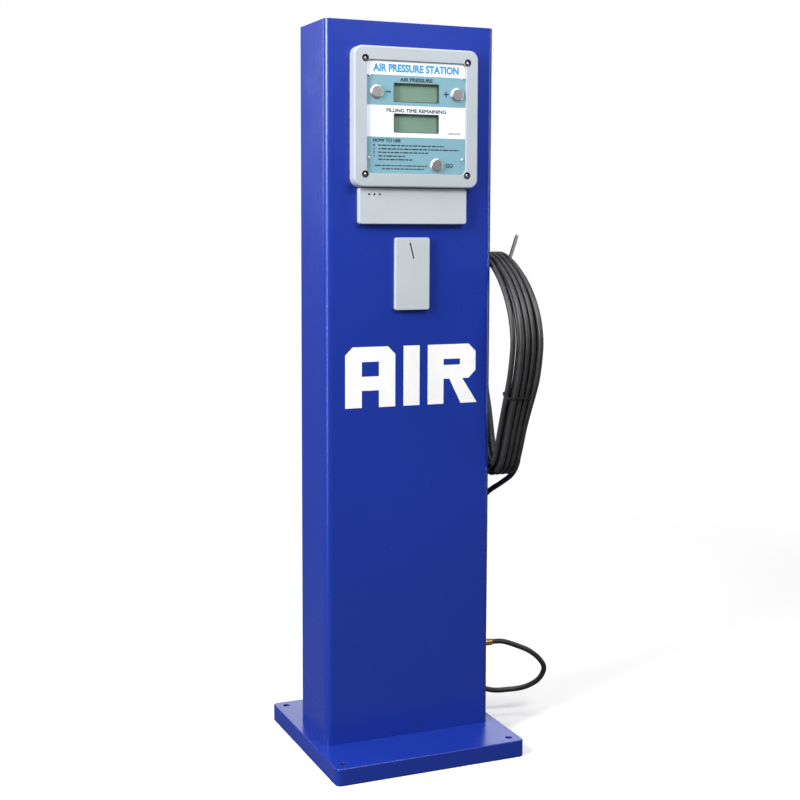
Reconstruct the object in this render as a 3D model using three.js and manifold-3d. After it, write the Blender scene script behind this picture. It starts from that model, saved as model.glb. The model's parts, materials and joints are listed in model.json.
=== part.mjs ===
// Pedestal tyre inflator: a sheet-metal column on a base plate, with a control head, a coin slot,
// the air valves behind a hinged rear door, and a long air hose coiled on a hook.
// Millimetres, +Z up. The origin is the centre of the base's underside, and the front faces -Y.
import * as THREE from 'three';
import { mergeVertices } from 'three/addons/utils/BufferGeometryUtils.js';
import Module from 'manifold-3d';

const wasm = await Module();
wasm.setup();

// ---------- driving dimensions ----------
const GAP = 0.3; // between two pieces that touch

const BASE = { w: 360, d: 355, h: 30, corner: 10, wall: 4, top: 3, edge: 2 };
const ANCHOR = { inset: 21, r: 6, seatR: 10 };

const COL = { w: 320, d: 130, y: -5, top: 1300, sheet: 2, frontR: 12, rearR: 3 };
const FRONT = COL.y - COL.d / 2; // outer front face
const REAR = COL.y + COL.d / 2; // outer rear face
const SIDE = COL.w / 2; // outer face of a side wall
const FOOT = BASE.h + GAP; // bottom edge of the column

const HEAD = { x: 1.5, z: 1136, w: 234, h: 239, corner: 16, proud: 22, edge: 3 };
const FASCIA = { w: 187, h: 192, corner: 8.5, recess: 4, thick: 2.5 };
const HOUSING = { w: 166, h: 170, wall: 2.5, rear: -22, flange: 206 };
const WINDOW = { w: 86, h: 33, pressureZ: 1178.6, timeZ: 1126.4 };
const BUTTON = { bodyR: 12, barrelR: 9.7, bodyProud: 2.2, capR: 9.3, capProud: 3.6 };
const BUTTONS = { minus: [-74.5, 1178.5], plus: [77, 1178.5], fill: [38.7, 1055.3] };
const BEZEL_SCREW = { x: 96.5, z: 98, recessR: 6.2, recess: 4, headR: 3.6, shankR: 2 };
const FASCIA_SCREW = { x: 88.5, up: 70.5, down: -70, headR: 2.6, shankR: 1.2 };

const COVER = { w: 204, z0: 953, z1: 1015.9, proud: 12, wall: 2, corner: 5 };
const SOUND = { x: [-84, -74, -64], z: 1004, r: 2 };
const SLOT_PLATE = { w: 65, z0: 802.5, z1: 929.5, proud: 8.5, corner: 4 };
const SLOT = { x: -1, z: 906, len: 29, w: 3, lean: 0.26 };

const DOOR = { x: 144, z0: 64, z1: 1266, sheet: 2, lip: 12, clear: 2 };
const HINGE = { x: -146, y: REAR + 5, r: 4.4, pinR: 2, bore: 2.3, len: 20, z: [1090, 240] };
const LOCK = { x: 122, z: 700, r: 9.5 };

const OUTLET = { y: -30, z: 168, end: 186 }; // brass fitting on the right-hand wall
const TREE = { x: 70, y: 10 }; // vertical line of the air inlet, ball valve and filter

const HOSE_R = 5;
const HOOK = { y: -5, z: 877.2, r: 3.5, bend: 225, tipX: 244, tipZ: 931 };

// Centre line of one turn of the coil, front to rear, in its own (Y, Z) plane.
const TURN = [
  [3, 888], [-57, 870], [-111, 826], [-139, 757], [-131, 690], [-107, 620], [-86, 560], [-74, 528],
  [-57.5, 510.5], [-36, 504], [-14.5, 510.5], [1.5, 528], [12, 560], [28, 625], [56, 695], [84, 760],
  [86, 822], [54, 870],
];
const COIL = { x0: 162.2, x1: 215.4, inner: 5.3, outer: 17.8 };

// Free route of the hose from the brass fitting, round the low loop and up to the coil.
const RUN = [
  [186.3, -30, 168], [195, -30, 167.8], [210, -28, 165.5], [230, -25, 158], [252, -22, 148], [273, -17, 137],
  [302, -8, 114], [317, 0, 91], [310, 8, 68], [286, 19, 52], [254, 30, 47], [222, 37, 48], [196, 41, 59],
  [180, 42, 84], [175, 42, 125], [174, 41, 200], [174, 40, 290], [175, 37, 370], [181, 27, 418],
  [195, 9, 447], [212, -16, 469], [221, -38, 487], [220.5, -61, 512], [215, -77, 543], [209, -87, 568],
];
const FREE_END = [[209, 50, 662], [211, 47.5, 632], [212, 45, 604], [212, 44, 578]];
const CHUCK = { x: 212, y: 44, top: 577.7 };

// ---------- materials ----------
const material = (color, roughness, metalness = 0) =>
  new THREE.MeshStandardMaterial({ color, roughness, metalness });
const BLUE = material('#2a3fa0', 0.3);
const GREY = material('#b9c0c6', 0.5);
const TEAL = material('#84abb9', 0.4);
const LCD = material('#84a08e', 0.3);
const STEEL = material('#c9ccd0', 0.3, 0.9);
const ZINC = material('#9aa0a6', 0.45, 0.8);
const BRASS = material('#c9a650', 0.3, 0.9);
const BLACK = material('#1b1b1d', 0.55);
const RUBBER = material('#141416', 0.7);
const GREEN = material('#1d5f3a', 0.5);
const RED = material('#b3261e', 0.5);

// ---------- solids ----------
function toSolid(geometry) {
  const bare = geometry.clone();
  bare.deleteAttribute('normal');
  bare.deleteAttribute('uv');
  const merged = mergeVertices(bare, 1e-4);
  return new wasm.Manifold(new wasm.Mesh({
    numProp: 3,
    vertProperties: new Float32Array(merged.attributes.position.array),
    triVerts: new Uint32Array(merged.index.array),
  }));
}

function toGeometry(solid) {
  const mesh = solid.getMesh();
  const geometry = new THREE.BufferGeometry();
  geometry.setAttribute('position', new THREE.BufferAttribute(mesh.vertProperties, 3));
  geometry.setIndex(new THREE.BufferAttribute(mesh.triVerts, 1));
  geometry.computeVertexNormals();
  return geometry;
}

const join = (...parts) => toGeometry(parts.map(toSolid).reduce((a, b) => a.add(b)));
const cut = (body, ...tools) =>
  toGeometry(tools.map(toSolid).reduce((a, b) => a.subtract(b), toSolid(body)));

// A box between two corners.
function block([x0, y0, z0], [x1, y1, z1]) {
  return new THREE.BoxGeometry(x1 - x0, y1 - y0, z1 - z0)
    .translate((x0 + x1) / 2, (y0 + y1) / 2, (z0 + z1) / 2);
}

// A lathe turned about 'x', 'y' or 'z' through a point; the profile lists [radius, distance along the axis].
function turned(axis, [x, y, z], profile, sides = 16) {
  const points = profile.map(([r, h]) => new THREE.Vector2(r, h));
  const geometry = new THREE.LatheGeometry(points, sides);
  if (axis === 'z') geometry.rotateX(Math.PI / 2);
  if (axis === 'x') geometry.rotateZ(-Math.PI / 2);
  return geometry.translate(x, y, z);
}

// A plain round bar from a to b along an axis.
const bar = (axis, at, r, a, b, sides = 16) => turned(axis, at, [[0, a], [r, a], [r, b], [0, b]], sides);

function roundedRect(w, h, r, cx = 0, cy = 0) {
  const shape = new THREE.Shape();
  const corners = [[1, -1, -90], [1, 1, 0], [-1, 1, 90], [-1, -1, 180]];
  for (const [sx, sy, start] of corners) {
    const a = THREE.MathUtils.degToRad(start);
    shape.absarc(cx + sx * (w / 2 - r), cy + sy * (h / 2 - r), r, a, a + Math.PI / 2, false);
  }
  shape.closePath();
  return shape;
}

// A shape drawn in (X, Z) as seen from the front, with its rear face at yRear and its front at yFront.
function frontSlab(shape, yRear, yFront, edge = 0, segments = 4) {
  const options = { depth: yRear - yFront - edge, curveSegments: segments, bevelEnabled: edge > 0,
    bevelSize: edge, bevelThickness: edge, bevelOffset: -edge, bevelSegments: 2 };
  const geometry = new THREE.ExtrudeGeometry(shape, options).rotateX(Math.PI / 2).translate(0, yRear, 0);
  if (!edge) return geometry;
  return cut(geometry, block([-400, yRear, -100], [400, yRear + edge * 2, 1500])); // flat back
}

// A flat shape drawn in (X, Y) and raised from z0 to z1.
const raised = (shape, z0, z1, segments = 5) => new THREE.ExtrudeGeometry(shape,
  { depth: z1 - z0, bevelEnabled: false, curveSegments: segments }).translate(0, 0, z0);

// A shape drawn in (Y, Z) and stretched from x0 to x1.
function sideSlab(points, x0, x1, hole = []) {
  const shape = new THREE.Shape(points.map(([y, z]) => new THREE.Vector2(y, z)));
  if (hole.length) shape.holes.push(new THREE.Path(hole.map(([y, z]) => new THREE.Vector2(y, z))));
  const geometry = new THREE.ExtrudeGeometry(shape, { depth: x1 - x0, bevelEnabled: false });
  const axes = new THREE.Matrix4().set(0, 0, 1, x0, 1, 0, 0, 0, 0, 1, 0, 0, 0, 0, 0, 1);
  return geometry.applyMatrix4(axes);
}

// A tube of round section along a curve.
function tube(points, r, sides, steps) {
  const path = new THREE.CatmullRomCurve3(points.map((p) => new THREE.Vector3(...p)), false, 'centripetal');
  const section = new THREE.Shape();
  for (let i = 0; i < sides; i += 1) {
    const a = (i / sides) * 2 * Math.PI;
    section[i ? 'lineTo' : 'moveTo'](r * Math.cos(a), r * Math.sin(a));
  }
  section.closePath();
  return new THREE.ExtrudeGeometry(section, { steps, extrudePath: path, bevelEnabled: false });
}

const object = new THREE.Group();
function add(name, geometry, look) {
  const mesh = new THREE.Mesh(geometry, look);
  mesh.name = name;
  object.add(mesh);
}

// ---------- base ----------
const anchors = [[-1, -1], [1, -1], [1, 1], [-1, 1]].map(([sx, sy]) =>
  [sx * (BASE.w / 2 - ANCHOR.inset), sy * (BASE.d / 2 - ANCHOR.inset)]);

function makeBase() {
  const { w, d, h, corner, wall, top, edge } = BASE;
  const slab = new THREE.ExtrudeGeometry(roundedRect(w, d, corner), { depth: h - edge, curveSegments: 4,
    bevelEnabled: true, bevelSize: edge, bevelThickness: edge, bevelOffset: -edge, bevelSegments: 1 });
  const holes = anchors.map(([x, y]) => bar('z', [x, y, 0], ANCHOR.r, -1, h + 1));
  const cavity = raised(roundedRect(w - 2 * wall, d - 2 * wall, corner - wall), -5, h - top, 3);
  const below = block([-w, -d, -20], [w, d, 0]);
  const inlet = bar('z', [TREE.x, TREE.y, 0], 10.6, 0, h + 1);
  const conduit = bar('z', [-90, 0, 0], 18, 0, h + 1);
  add('base_pan', cut(slab, below, cavity, inlet, conduit, ...holes), BLUE);

  const plate = raised(roundedRect(w - 2 * (wall + GAP), d - 2 * (wall + GAP), corner - wall), 0, 4, 3);
  const sleeves = anchors.map(([x, y]) => bar('z', [x, y, 0], ANCHOR.seatR, 2, h - top - GAP, 12));
  const bores = anchors.map(([x, y]) => bar('z', [x, y, 0], ANCHOR.r + 0.5, -1, h, 12));
  const supply = bar('z', [TREE.x, TREE.y, 0], 20, -1, 10);
  const power = bar('z', [-90, 0, 0], 18, -1, 10);
  add('base_bottom_plate', cut(join(plate, ...sleeves), supply, power, ...bores), ZINC);
}

// ---------- column ----------
// Outline of the column in (X, Y), drawn in by some distance on every side.
function columnOutline(inset) {
  const x = SIDE - inset;
  const front = FRONT + inset;
  const rear = REAR - inset;
  const rf = COL.frontR - inset;
  const rr = Math.max(COL.rearR - inset, 0.8);
  const shape = new THREE.Shape();
  shape.absarc(x - rf, front + rf, rf, -Math.PI / 2, 0, false);
  shape.absarc(x - rr, rear - rr, rr, 0, Math.PI / 2, false);
  shape.absarc(-x + rr, rear - rr, rr, Math.PI / 2, Math.PI, false);
  shape.absarc(-x + rf, front + rf, rf, Math.PI, 1.5 * Math.PI, false);
  shape.closePath();
  return shape;
}

const bezelScrews = [[-1, 1], [1, 1], [1, -1], [-1, -1]].map(([sx, sz]) =>
  [HEAD.x + sx * BEZEL_SCREW.x, HEAD.z + sz * BEZEL_SCREW.z]);

function makeColumn() {
  const t = COL.sheet;
  const skin = cut(raised(columnOutline(0), FOOT, COL.top), raised(columnOutline(t), 0, COL.top + 10));
  const doorway = block([-DOOR.x - DOOR.clear, REAR - 10, DOOR.z0 - DOOR.clear],
    [DOOR.x + DOOR.clear, REAR + 10, DOOR.z1 + DOOR.clear]);
  const wayIn = (x0, z0, x1, z1) => block([x0, FRONT - 10, z0], [x1, FRONT + 10, z1]);
  const headway = wayIn(HEAD.x - 86, HEAD.z - 88, HEAD.x + 86, HEAD.z + 88);
  const coinway = wayIn(-20, 865, 20, 925);
  const soundway = bar('y', [SOUND.x[1], 0, 990], 5, FRONT - 10, FRONT + 10, 16);
  const screwHoles = bezelScrews.map(([x, z]) => bar('y', [x, 0, z], 2.6, FRONT - 10, FRONT + 10, 8));
  const outletHole = bar('x', [0, OUTLET.y, OUTLET.z], 7, SIDE - 10, SIDE + 10, 20);
  const hookHole = bar('x', [0, HOOK.y, HOOK.z], HOOK.r + 0.5, SIDE - 10, SIDE + 10, 16);
  add('column_shell',
    cut(skin, doorway, headway, coinway, soundway, outletHole, hookHole, ...screwHoles), BLUE);

  const lid = raised(columnOutline(t + GAP), COL.top - 20, COL.top);
  const under = raised(columnOutline(2 * t + GAP), COL.top - 30, COL.top - t);
  add('top_cap', cut(lid, under), BLUE);
}

// ---------- rear door, hinges and lock ----------
function makeDoor() {
  const { x, z0, z1, sheet, lip } = DOOR;
  const tray = block([-x, REAR - lip, z0], [x, REAR, z1]);
  const inside = block([-x + sheet, REAR - lip - 5, z0 + sheet], [x - sheet, REAR - sheet, z1 - sheet]);
  const lockHole = bar('y', [LOCK.x, 0, LOCK.z], LOCK.r + GAP, REAR - 10, REAR + 5);
  const vents = [1140, 1158, 1176, 1194, 1212].map((z) => block([-50, REAR - 5, z], [50, REAR + 5, z + 6]));
  add('rear_door', cut(tray, inside, lockHole, ...vents), BLUE);

  const plateFront = REAR + GAP;
  const plateBack = plateFront + 2;
  const knuckle = (z, a, b) => bar('z', [HINGE.x, HINGE.y, z], HINGE.r, a, b, 12);
  const bore = (z) => bar('z', [HINGE.x, HINGE.y, z], HINGE.bore, -100, 100, 12);
  const { len } = HINGE;
  const clear = HINGE.r + 0.4; // half width kept free beside the other leaf's knuckle
  HINGE.z.forEach((z, i) => {
    const end = i ? 'lower' : 'upper';
    const frameFlap = block([-158, plateFront, z - 1.5 * len], [HINGE.x - clear, plateBack, z + 1.5 * len]);
    const frameWebs = [-1, 1].map((s) => block([HINGE.x - clear - 1, plateFront, z + s * len - len / 2 + 0.2],
      [HINGE.x, plateBack, z + s * len + len / 2 - 0.2]));
    const frameKnuckles = [-1, 1].map((s) => knuckle(z + s * len, -len / 2 + 0.2, len / 2 - 0.2));
    add(`hinge_frame_leaf_${end}`, cut(join(frameFlap, ...frameWebs, ...frameKnuckles), bore(z)), STEEL);

    const doorFlap = block([HINGE.x + clear, plateFront, z - 1.5 * len], [-118, plateBack, z + 1.5 * len]);
    const doorWeb = block([HINGE.x, plateFront, z - len / 2 + 0.2],
      [HINGE.x + clear + 1, plateBack, z + len / 2 - 0.2]);
    const doorKnuckle = knuckle(z, -len / 2 + 0.2, len / 2 - 0.2);
    add(`hinge_door_leaf_${end}`, cut(join(doorFlap, doorWeb, doorKnuckle), bore(z)), STEEL);

    const head = 1.5 * len + 0.2;
    add(`hinge_pin_${end}`, turned('z', [HINGE.x, HINGE.y, z],
      [[0, -head], [HINGE.pinR, -head], [HINGE.pinR, head], [HINGE.r - 0.4, head], [HINGE.r - 0.4, head + 2],
        [0, head + 2]], 12), STEEL);
  });

  const at = [LOCK.x, REAR, LOCK.z];
  const barrel = turned('y', at,
    [[7, -20], [LOCK.r, -20], [LOCK.r, GAP], [12, GAP], [12, 3], [7, 3], [7, -20]]);
  add('lock_barrel', barrel, STEEL);
  add('lock_nut', cut(bar('y', at, 13.5, -6.3, -2.3, 6), bar('y', at, LOCK.r + GAP, -8, 0)), ZINC);
  const plug = bar('y', at, 6.7, -24, 2.4);
  const keySlot = block([LOCK.x - 0.8, REAR + 1, LOCK.z - 4], [LOCK.x + 0.8, REAR + 4, LOCK.z + 4]);
  const blade = block([LOCK.x - 7, REAR - 24, LOCK.z - 7], [LOCK.x + 7, REAR - 21, LOCK.z + 32]);
  add('lock_cam', cut(join(plug, blade), keySlot), STEEL);
}

// ---------- control head ----------
function makeHead() {
  const face = FRONT - HEAD.proud;
  const fasciaFront = face + FASCIA.recess;
  const fasciaRear = fasciaFront + FASCIA.thick;
  const rim = roundedRect(HEAD.w, HEAD.h, HEAD.corner, HEAD.x, HEAD.z);
  const pocket = roundedRect(FASCIA.w + 2 * GAP, FASCIA.h + 2 * GAP, FASCIA.corner + GAP, HEAD.x, HEAD.z);
  const through = block([HEAD.x - 85.5, face - 1, HEAD.z - 87.5], [HEAD.x + 85.5, FRONT + 1, HEAD.z + 87.5]);
  const shanks = bezelScrews.map(([x, z]) =>
    bar('y', [x, 0, z], BEZEL_SCREW.shankR + GAP, face - 1, FRONT + 1, 8));
  const recesses = bezelScrews.map(([x, z]) =>
    bar('y', [x, 0, z], BEZEL_SCREW.recessR, face - 1, face + BEZEL_SCREW.recess, 16));
  const { up, down } = FASCIA_SCREW;
  const fasciaScrews = [[-1, up], [1, up], [1, down], [-1, down]]
    .map(([sx, dz]) => [HEAD.x + sx * FASCIA_SCREW.x, HEAD.z + dz]);
  const pilots = fasciaScrews.map(([x, z]) =>
    bar('y', [x, 0, z], FASCIA_SCREW.shankR + GAP, face, face + 15, 8));
  const scallops = Object.values(BUTTONS).map(([dx, z]) =>
    bar('y', [HEAD.x + dx, 0, z], BUTTON.barrelR + 0.8, fasciaRear - 1, fasciaRear + 6));
  const tools = [through, ...shanks, ...recesses, ...pilots, ...scallops];
  add('control_bezel', cut(frontSlab(rim, FRONT - GAP, face, HEAD.edge),
    frontSlab(pocket, fasciaRear + GAP, face - 1), ...tools), GREY);

  const windows = [WINDOW.pressureZ, WINDOW.timeZ].map((z) =>
    block([HEAD.x - WINDOW.w / 2, face, z - WINDOW.h / 2], [HEAD.x + WINDOW.w / 2, FRONT, z + WINDOW.h / 2]));
  const seats = Object.values(BUTTONS).map(([dx, z]) =>
    bar('y', [HEAD.x + dx, 0, z], BUTTON.barrelR + 0.2, face, FRONT, 20));
  const sheet = roundedRect(FASCIA.w, FASCIA.h, FASCIA.corner, HEAD.x, HEAD.z);
  add('fascia_plate', cut(frontSlab(sheet, fasciaRear, fasciaFront), ...windows, ...seats, ...pilots), TEAL);

  const tubSize = (inset, yFront) => block(
    [HEAD.x - HOUSING.w / 2 + inset, yFront, HEAD.z - HOUSING.h / 2 + inset],
    [HEAD.x + HOUSING.w / 2 - inset, HOUSING.rear - inset, HEAD.z + HOUSING.h / 2 - inset]);
  const tub = tubSize(0, fasciaRear + 4.6);
  const half = HOUSING.flange / 2;
  const flange = block([HEAD.x - half, FRONT + COL.sheet + GAP, HEAD.z - half],
    [HEAD.x + half, FRONT + COL.sheet + 3 + GAP, HEAD.z + half]);
  const hollow = tubSize(HOUSING.wall, face);
  const cable = bar('y', [HEAD.x, 0, HEAD.z - 60], 10, HOUSING.rear - 10, HOUSING.rear + 5, 16);
  const threads = shanks.map((shank) => shank.clone().translate(0, 15, 0));
  add('control_housing', cut(join(tub, flange), hollow, cable, ...threads), BLACK);

  bezelScrews.forEach(([x, z], i) => {
    const seat = face + BEZEL_SCREW.recess - GAP;
    const { headR, shankR } = BEZEL_SCREW;
    const screw = turned('y', [x, 0, z], [[0, seat - 2.4], [headR - 0.8, seat - 2.4], [headR, seat - 1.4],
      [headR, seat], [shankR, seat], [shankR, FRONT + 8], [0, FRONT + 8]], 10);
    add(`bezel_screw_${i + 1}`, cut(screw, ...crossRecess(x, seat - 2.4, z, 1.6)), STEEL);
  });
  fasciaScrews.forEach(([x, z], i) => {
    const { headR, shankR } = FASCIA_SCREW;
    const front = fasciaFront - GAP;
    const screw = turned('y', [x, 0, z], [[0, front - 1.5], [headR - 0.7, front - 1.5], [headR, front - 0.7],
      [headR, front], [shankR, front], [shankR, face + 14], [0, face + 14]], 10);
    add(`fascia_screw_${i + 1}`, cut(screw, ...crossRecess(x, front - 1.5, z, 1.1)), STEEL);
  });

  for (const [name, z] of [['lcd_pressure', WINDOW.pressureZ], ['lcd_time', WINDOW.timeZ]]) {
    add(name, block([HEAD.x - 50, fasciaRear + GAP, z - 22], [HEAD.x + 50, fasciaRear + 5, z + 22]), LCD);
  }

  for (const [name, [dx, z]] of Object.entries(BUTTONS)) {
    const { bodyR, barrelR, bodyProud, capR, capProud } = BUTTON;
    const at = [HEAD.x + dx, 0, z];
    const front = fasciaFront - GAP;
    const capFront = fasciaFront - capProud;
    add(`button_body_${name}`, turned('y', at, [[capR + 0.2, fasciaRear + 4], [capR + 0.2, front - bodyProud],
      [bodyR - 1, front - bodyProud], [bodyR, front - bodyProud + 1], [bodyR, front], [barrelR, front],
      [barrelR, fasciaRear + 4], [capR + 0.2, fasciaRear + 4]], 20), STEEL);
    add(`button_cap_${name}`, turned('y', at, [[0, capFront], [capR - 1.6, capFront + 0.2],
      [capR, capFront + 1], [capR, fasciaRear - 0.4], [0, fasciaRear - 0.4]], 20), STEEL);
  }

  const onBoard = (x0, z0, x1, z1, y0, y1) =>
    block([HEAD.x + x0, fasciaRear + y0, HEAD.z + z0], [HEAD.x + x1, fasciaRear + y1, HEAD.z + z1]);
  const board = onBoard(-78, -80, 78, 80, 6, 7.6);
  const chip = onBoard(-60, -20, -20, 20, 7, 12);
  const terminals = onBoard(10, -70, 70, -58, 7, 17);
  add('control_pcb', join(board, chip, terminals), GREEN);
}

// Two crossed slots in a screw head whose top is at (x, y, z), facing -Y.
function crossRecess(x, y, z, reach) {
  return [[reach, 0.4], [0.4, reach]].map(([dx, dz]) =>
    block([x - dx, y - 1, z - dz], [x + dx, y + 1, z + dz]));
}

// ---------- cover, coin parts ----------
function makeCoinParts() {
  const rear = FRONT - GAP;
  const height = COVER.z1 - COVER.z0;
  const mid = (COVER.z0 + COVER.z1) / 2 - GAP;
  const outline = roundedRect(COVER.w, height - 2 * GAP, COVER.corner, 0, mid);
  const hood = frontSlab(outline, rear, FRONT - COVER.proud, 1.5, 4);
  const { wall } = COVER;
  const hollow = block([-COVER.w / 2 + wall, FRONT - COVER.proud + wall, COVER.z0 + wall],
    [COVER.w / 2 - wall, FRONT + 1, COVER.z1 - 2 * wall]);
  const sound = SOUND.x.map((x) => bar('y', [x, 0, SOUND.z], SOUND.r, FRONT - COVER.proud - 1, FRONT, 12));
  add('lower_cover', cut(hood, hollow, ...sound), GREY);
  add('buzzer', bar('y', [SOUND.x[1], 0, 990], 13, FRONT - 8.5, rear), BLACK);

  const plateH = SLOT_PLATE.z1 - SLOT_PLATE.z0;
  const plateMid = (SLOT_PLATE.z0 + SLOT_PLATE.z1) / 2;
  const plate = frontSlab(roundedRect(SLOT_PLATE.w, plateH, SLOT_PLATE.corner, 0, plateMid), rear,
    FRONT - SLOT_PLATE.proud, 1.2, 4);
  const slot = block([-SLOT.w / 2, FRONT - 20, -SLOT.len / 2], [SLOT.w / 2, FRONT + 5, SLOT.len / 2])
    .rotateY(-SLOT.lean).translate(SLOT.x, 0, SLOT.z);
  add('coin_slot_plate', cut(plate, slot), GREY);

  const inner = FRONT + COL.sheet + GAP;
  const chute = sideSlab([[inner, 800], [inner, 940], [-12, 940], [-2, 925], [-2, 830], [-20, 800]], -28, 28);
  const guide = block([-2.2, FRONT, 830], [2.2, -15, 960]);
  const entry = block([-2.2, FRONT, 790], [2.2, -40, 840]);
  add('coin_acceptor', cut(chute, guide, entry), BLACK);

  const shelfFront = FRONT + COL.frontR + 2;
  const shelf = block([-157.7, shelfFront, 636], [157.7, 30, 638]);
  const wings = [-157.7, 155.7].map((x) => block([x, shelfFront, 610], [x + 2, 30, 637]));
  add('coin_shelf', join(shelf, ...wings), ZINC);
  const bin = block([-55, inner + 2, 638.3], [55, 24, 760]);
  const bay = block([-53, inner + 4, 640.3], [53, 22, 770]);
  const pull = block([-18, 20, 728], [18, 30, 744]);
  add('coin_box', cut(bin, bay, pull), ZINC);
}

// ---------- air and power ----------
function makeAirParts() {
  const { x, y } = TREE;
  const deck = BASE.h;
  add('inlet_fitting', turned('z', [x, y, 0], [[0, 6], [9, 6], [10, 8], [10, deck + GAP], [15, deck + GAP],
    [15, deck + 10], [9, deck + 10], [9, 59.7], [0, 59.7]]), BRASS);

  const hull = turned('z', [x, y, 0],
    [[0, 60], [12, 60], [12, 70], [15, 74], [15, 96], [12, 100], [12, 109.7], [0, 109.7]]);
  const stem = bar('y', [x, 0, 85], 4, y + 10, y + 22, 12);
  add('ball_valve', join(hull, stem), BRASS);
  const lever = block([x - 6, y + 17, 34], [x + 6, y + 20, 93]);
  const eye = bar('y', [x, 0, 85], 4 + GAP, y + 16, y + 21, 16);
  add('ball_valve_handle', cut(lever, eye), RED);

  add('filter_regulator', turned('z', [x, y, 0], [[0, 110], [9, 110], [9, 116], [19, 120], [21, 126],
    [21, 165], [24, 168], [24, 196], [20, 199], [20, 222], [12, 224], [12, 229.7], [0, 229.7]], 18), BLACK);
  const body = block([x - 40, y - 22, 230], [x + 50, y + 18, 278]);
  const port = bar('x', [0, 0, 255], 3, x + 40, x + 60, 12);
  add('valve_manifold', cut(body, port), STEEL);
  for (const [name, dx] of [['fill_solenoid', -20], ['release_solenoid', 28]]) {
    const yoke = block([x + dx - 15, y - 17, 290], [x + dx + 15, y + 13, 330]);
    const core = turned('z', [x + dx, y - 2, 0],
      [[0, 278.3], [10, 278.3], [10, 291], [5, 291], [5, 338], [0, 338]]);
    add(name, join(yoke, core), BLACK);
  }

  const { y: oy, z: oz, end } = OUTLET;
  const wallInside = SIDE - COL.sheet - GAP;
  const ferrule = turned('x', [0, oy, oz], [[0, 143], [6, 143], [6, 148], [10.5, 148], [10.5, wallInside],
    [6.5, wallInside], [6.5, SIDE + GAP], [10.5, SIDE + GAP], [10.5, SIDE + 8], [5.4, SIDE + 8],
    [5.4, 171], [6.6, 172], [6.6, end], [0, end]]);
  const riser = bar('z', [143, oy, 0], 6, oz - 7, oz + 18);
  add('outlet_fitting', join(ferrule, riser), BRASS);
  const line = [[x + 50 + GAP, y - 2, 255], [125, y - 2, 255], [132, 5, 254], [139, -2, 249],
    [143, -14, 236], [143, -26, 216], [143, oy, 200], [143, oy, oz + 18 + GAP]];
  add('outlet_line', tube(line, 4, 8, 14), BLACK);
}

function makePowerParts() {
  add('mounting_plate', block([-157.7, -50, 260], [-155.7, 40, 570]), ZINC);
  const can = block([-155.4, -45, 290], [-113, 35, 420]);
  const strip = block([-150, 20, 410], [-118, 34, 432]);
  add('power_supply', join(can, strip), STEEL);

  const cell = block([-155.4, -40, 460], [-137, 26, 545]);
  const nose = block([-155.4, 20, 480], [-137, 34, 525]);
  const cradle = block([-151.6, 22, 488], [-140.8, 40, 517]);
  add('breaker_body', cut(join(cell, nose), cradle), GREY);
  const hub = bar('x', [0, 29, 502.5], 5, -151, -141.4);
  const thumb = block([-151, 2, -2], [-141.4, 17, 2]).rotateX(0.6).translate(0, 29, 502.5);
  add('breaker_toggle', join(hub, thumb), BLACK);
}

// ---------- hook, hose and chuck ----------
function makeHook() {
  const { y, z, r, bend, tipX, tipZ } = HOOK;
  const path = [[146, y, z], [185, y, z], [bend - 8, y, z], [bend, y, z + 2.5], [bend + 4, y, z + 10],
    [(bend + 4 + tipX) / 2, y, (z + 10 + tipZ) / 2], [tipX, y, tipZ]];
  const rod = tube(path, r, 10, 20);
  const collar = bar('x', [0, y, z], 8, SIDE + GAP, SIDE + 2);
  add('hose_hook', join(rod, collar), STEEL);
  const nut = bar('x', [0, y, z], 7.5, 151, SIDE - COL.sheet - GAP, 6);
  add('hook_nut', cut(nut, bar('x', [0, y, z], r + GAP, 140, SIDE)), STEEL);
}

// The turn's centre line moved outwards by some distance, as a list of (Y, Z) points.
function turnOffset(distance, count = 44) {
  const points = TURN.map(([y, z]) => new THREE.Vector3(y, z, 0));
  const loop = new THREE.CatmullRomCurve3(points, true, 'centripetal');
  return Array.from({ length: count }, (_, i) => {
    const p = loop.getPointAt(i / count);
    const t = loop.getTangentAt(i / count);
    return [p.x + t.y * distance, p.y - t.x * distance];
  });
}

function makeHose() {
  const ring = (grow) => sideSlab(turnOffset(COIL.outer + grow), COIL.x0 - grow, COIL.x1 + grow,
    turnOffset(-COIL.inner - grow));
  const freeEnd = tube(FREE_END, HOSE_R, 8, 6);
  const coil = join(ring(0), freeEnd);
  add('hose_coil', coil, RUBBER);
  add('hose_run', cut(tube(RUN, HOSE_R, 8, 52), ring(GAP)), RUBBER);

  // The tie lies square across the front run of the coil.
  const depth = COIL.inner + COIL.outer;
  const width = COIL.x1 - COIL.x0;
  const middle = (COIL.outer - COIL.inner) / 2;
  const band = roundedRect(width + 5, depth + 6, 3);
  band.holes.push(roundedRect(width + 2, depth + 3, 1.6));
  const strap = new THREE.ExtrudeGeometry(band, { depth: 4, bevelEnabled: false, curveSegments: 3 });
  const lean = Math.atan2(26, 72);
  strap.translate(0, 0, -2).rotateX(lean)
    .translate((COIL.x0 + COIL.x1) / 2, -117 - middle * Math.cos(lean), 650 - middle * Math.sin(lean));
  add('hose_tie', cut(strap, ring(GAP)), BLACK);
}

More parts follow.
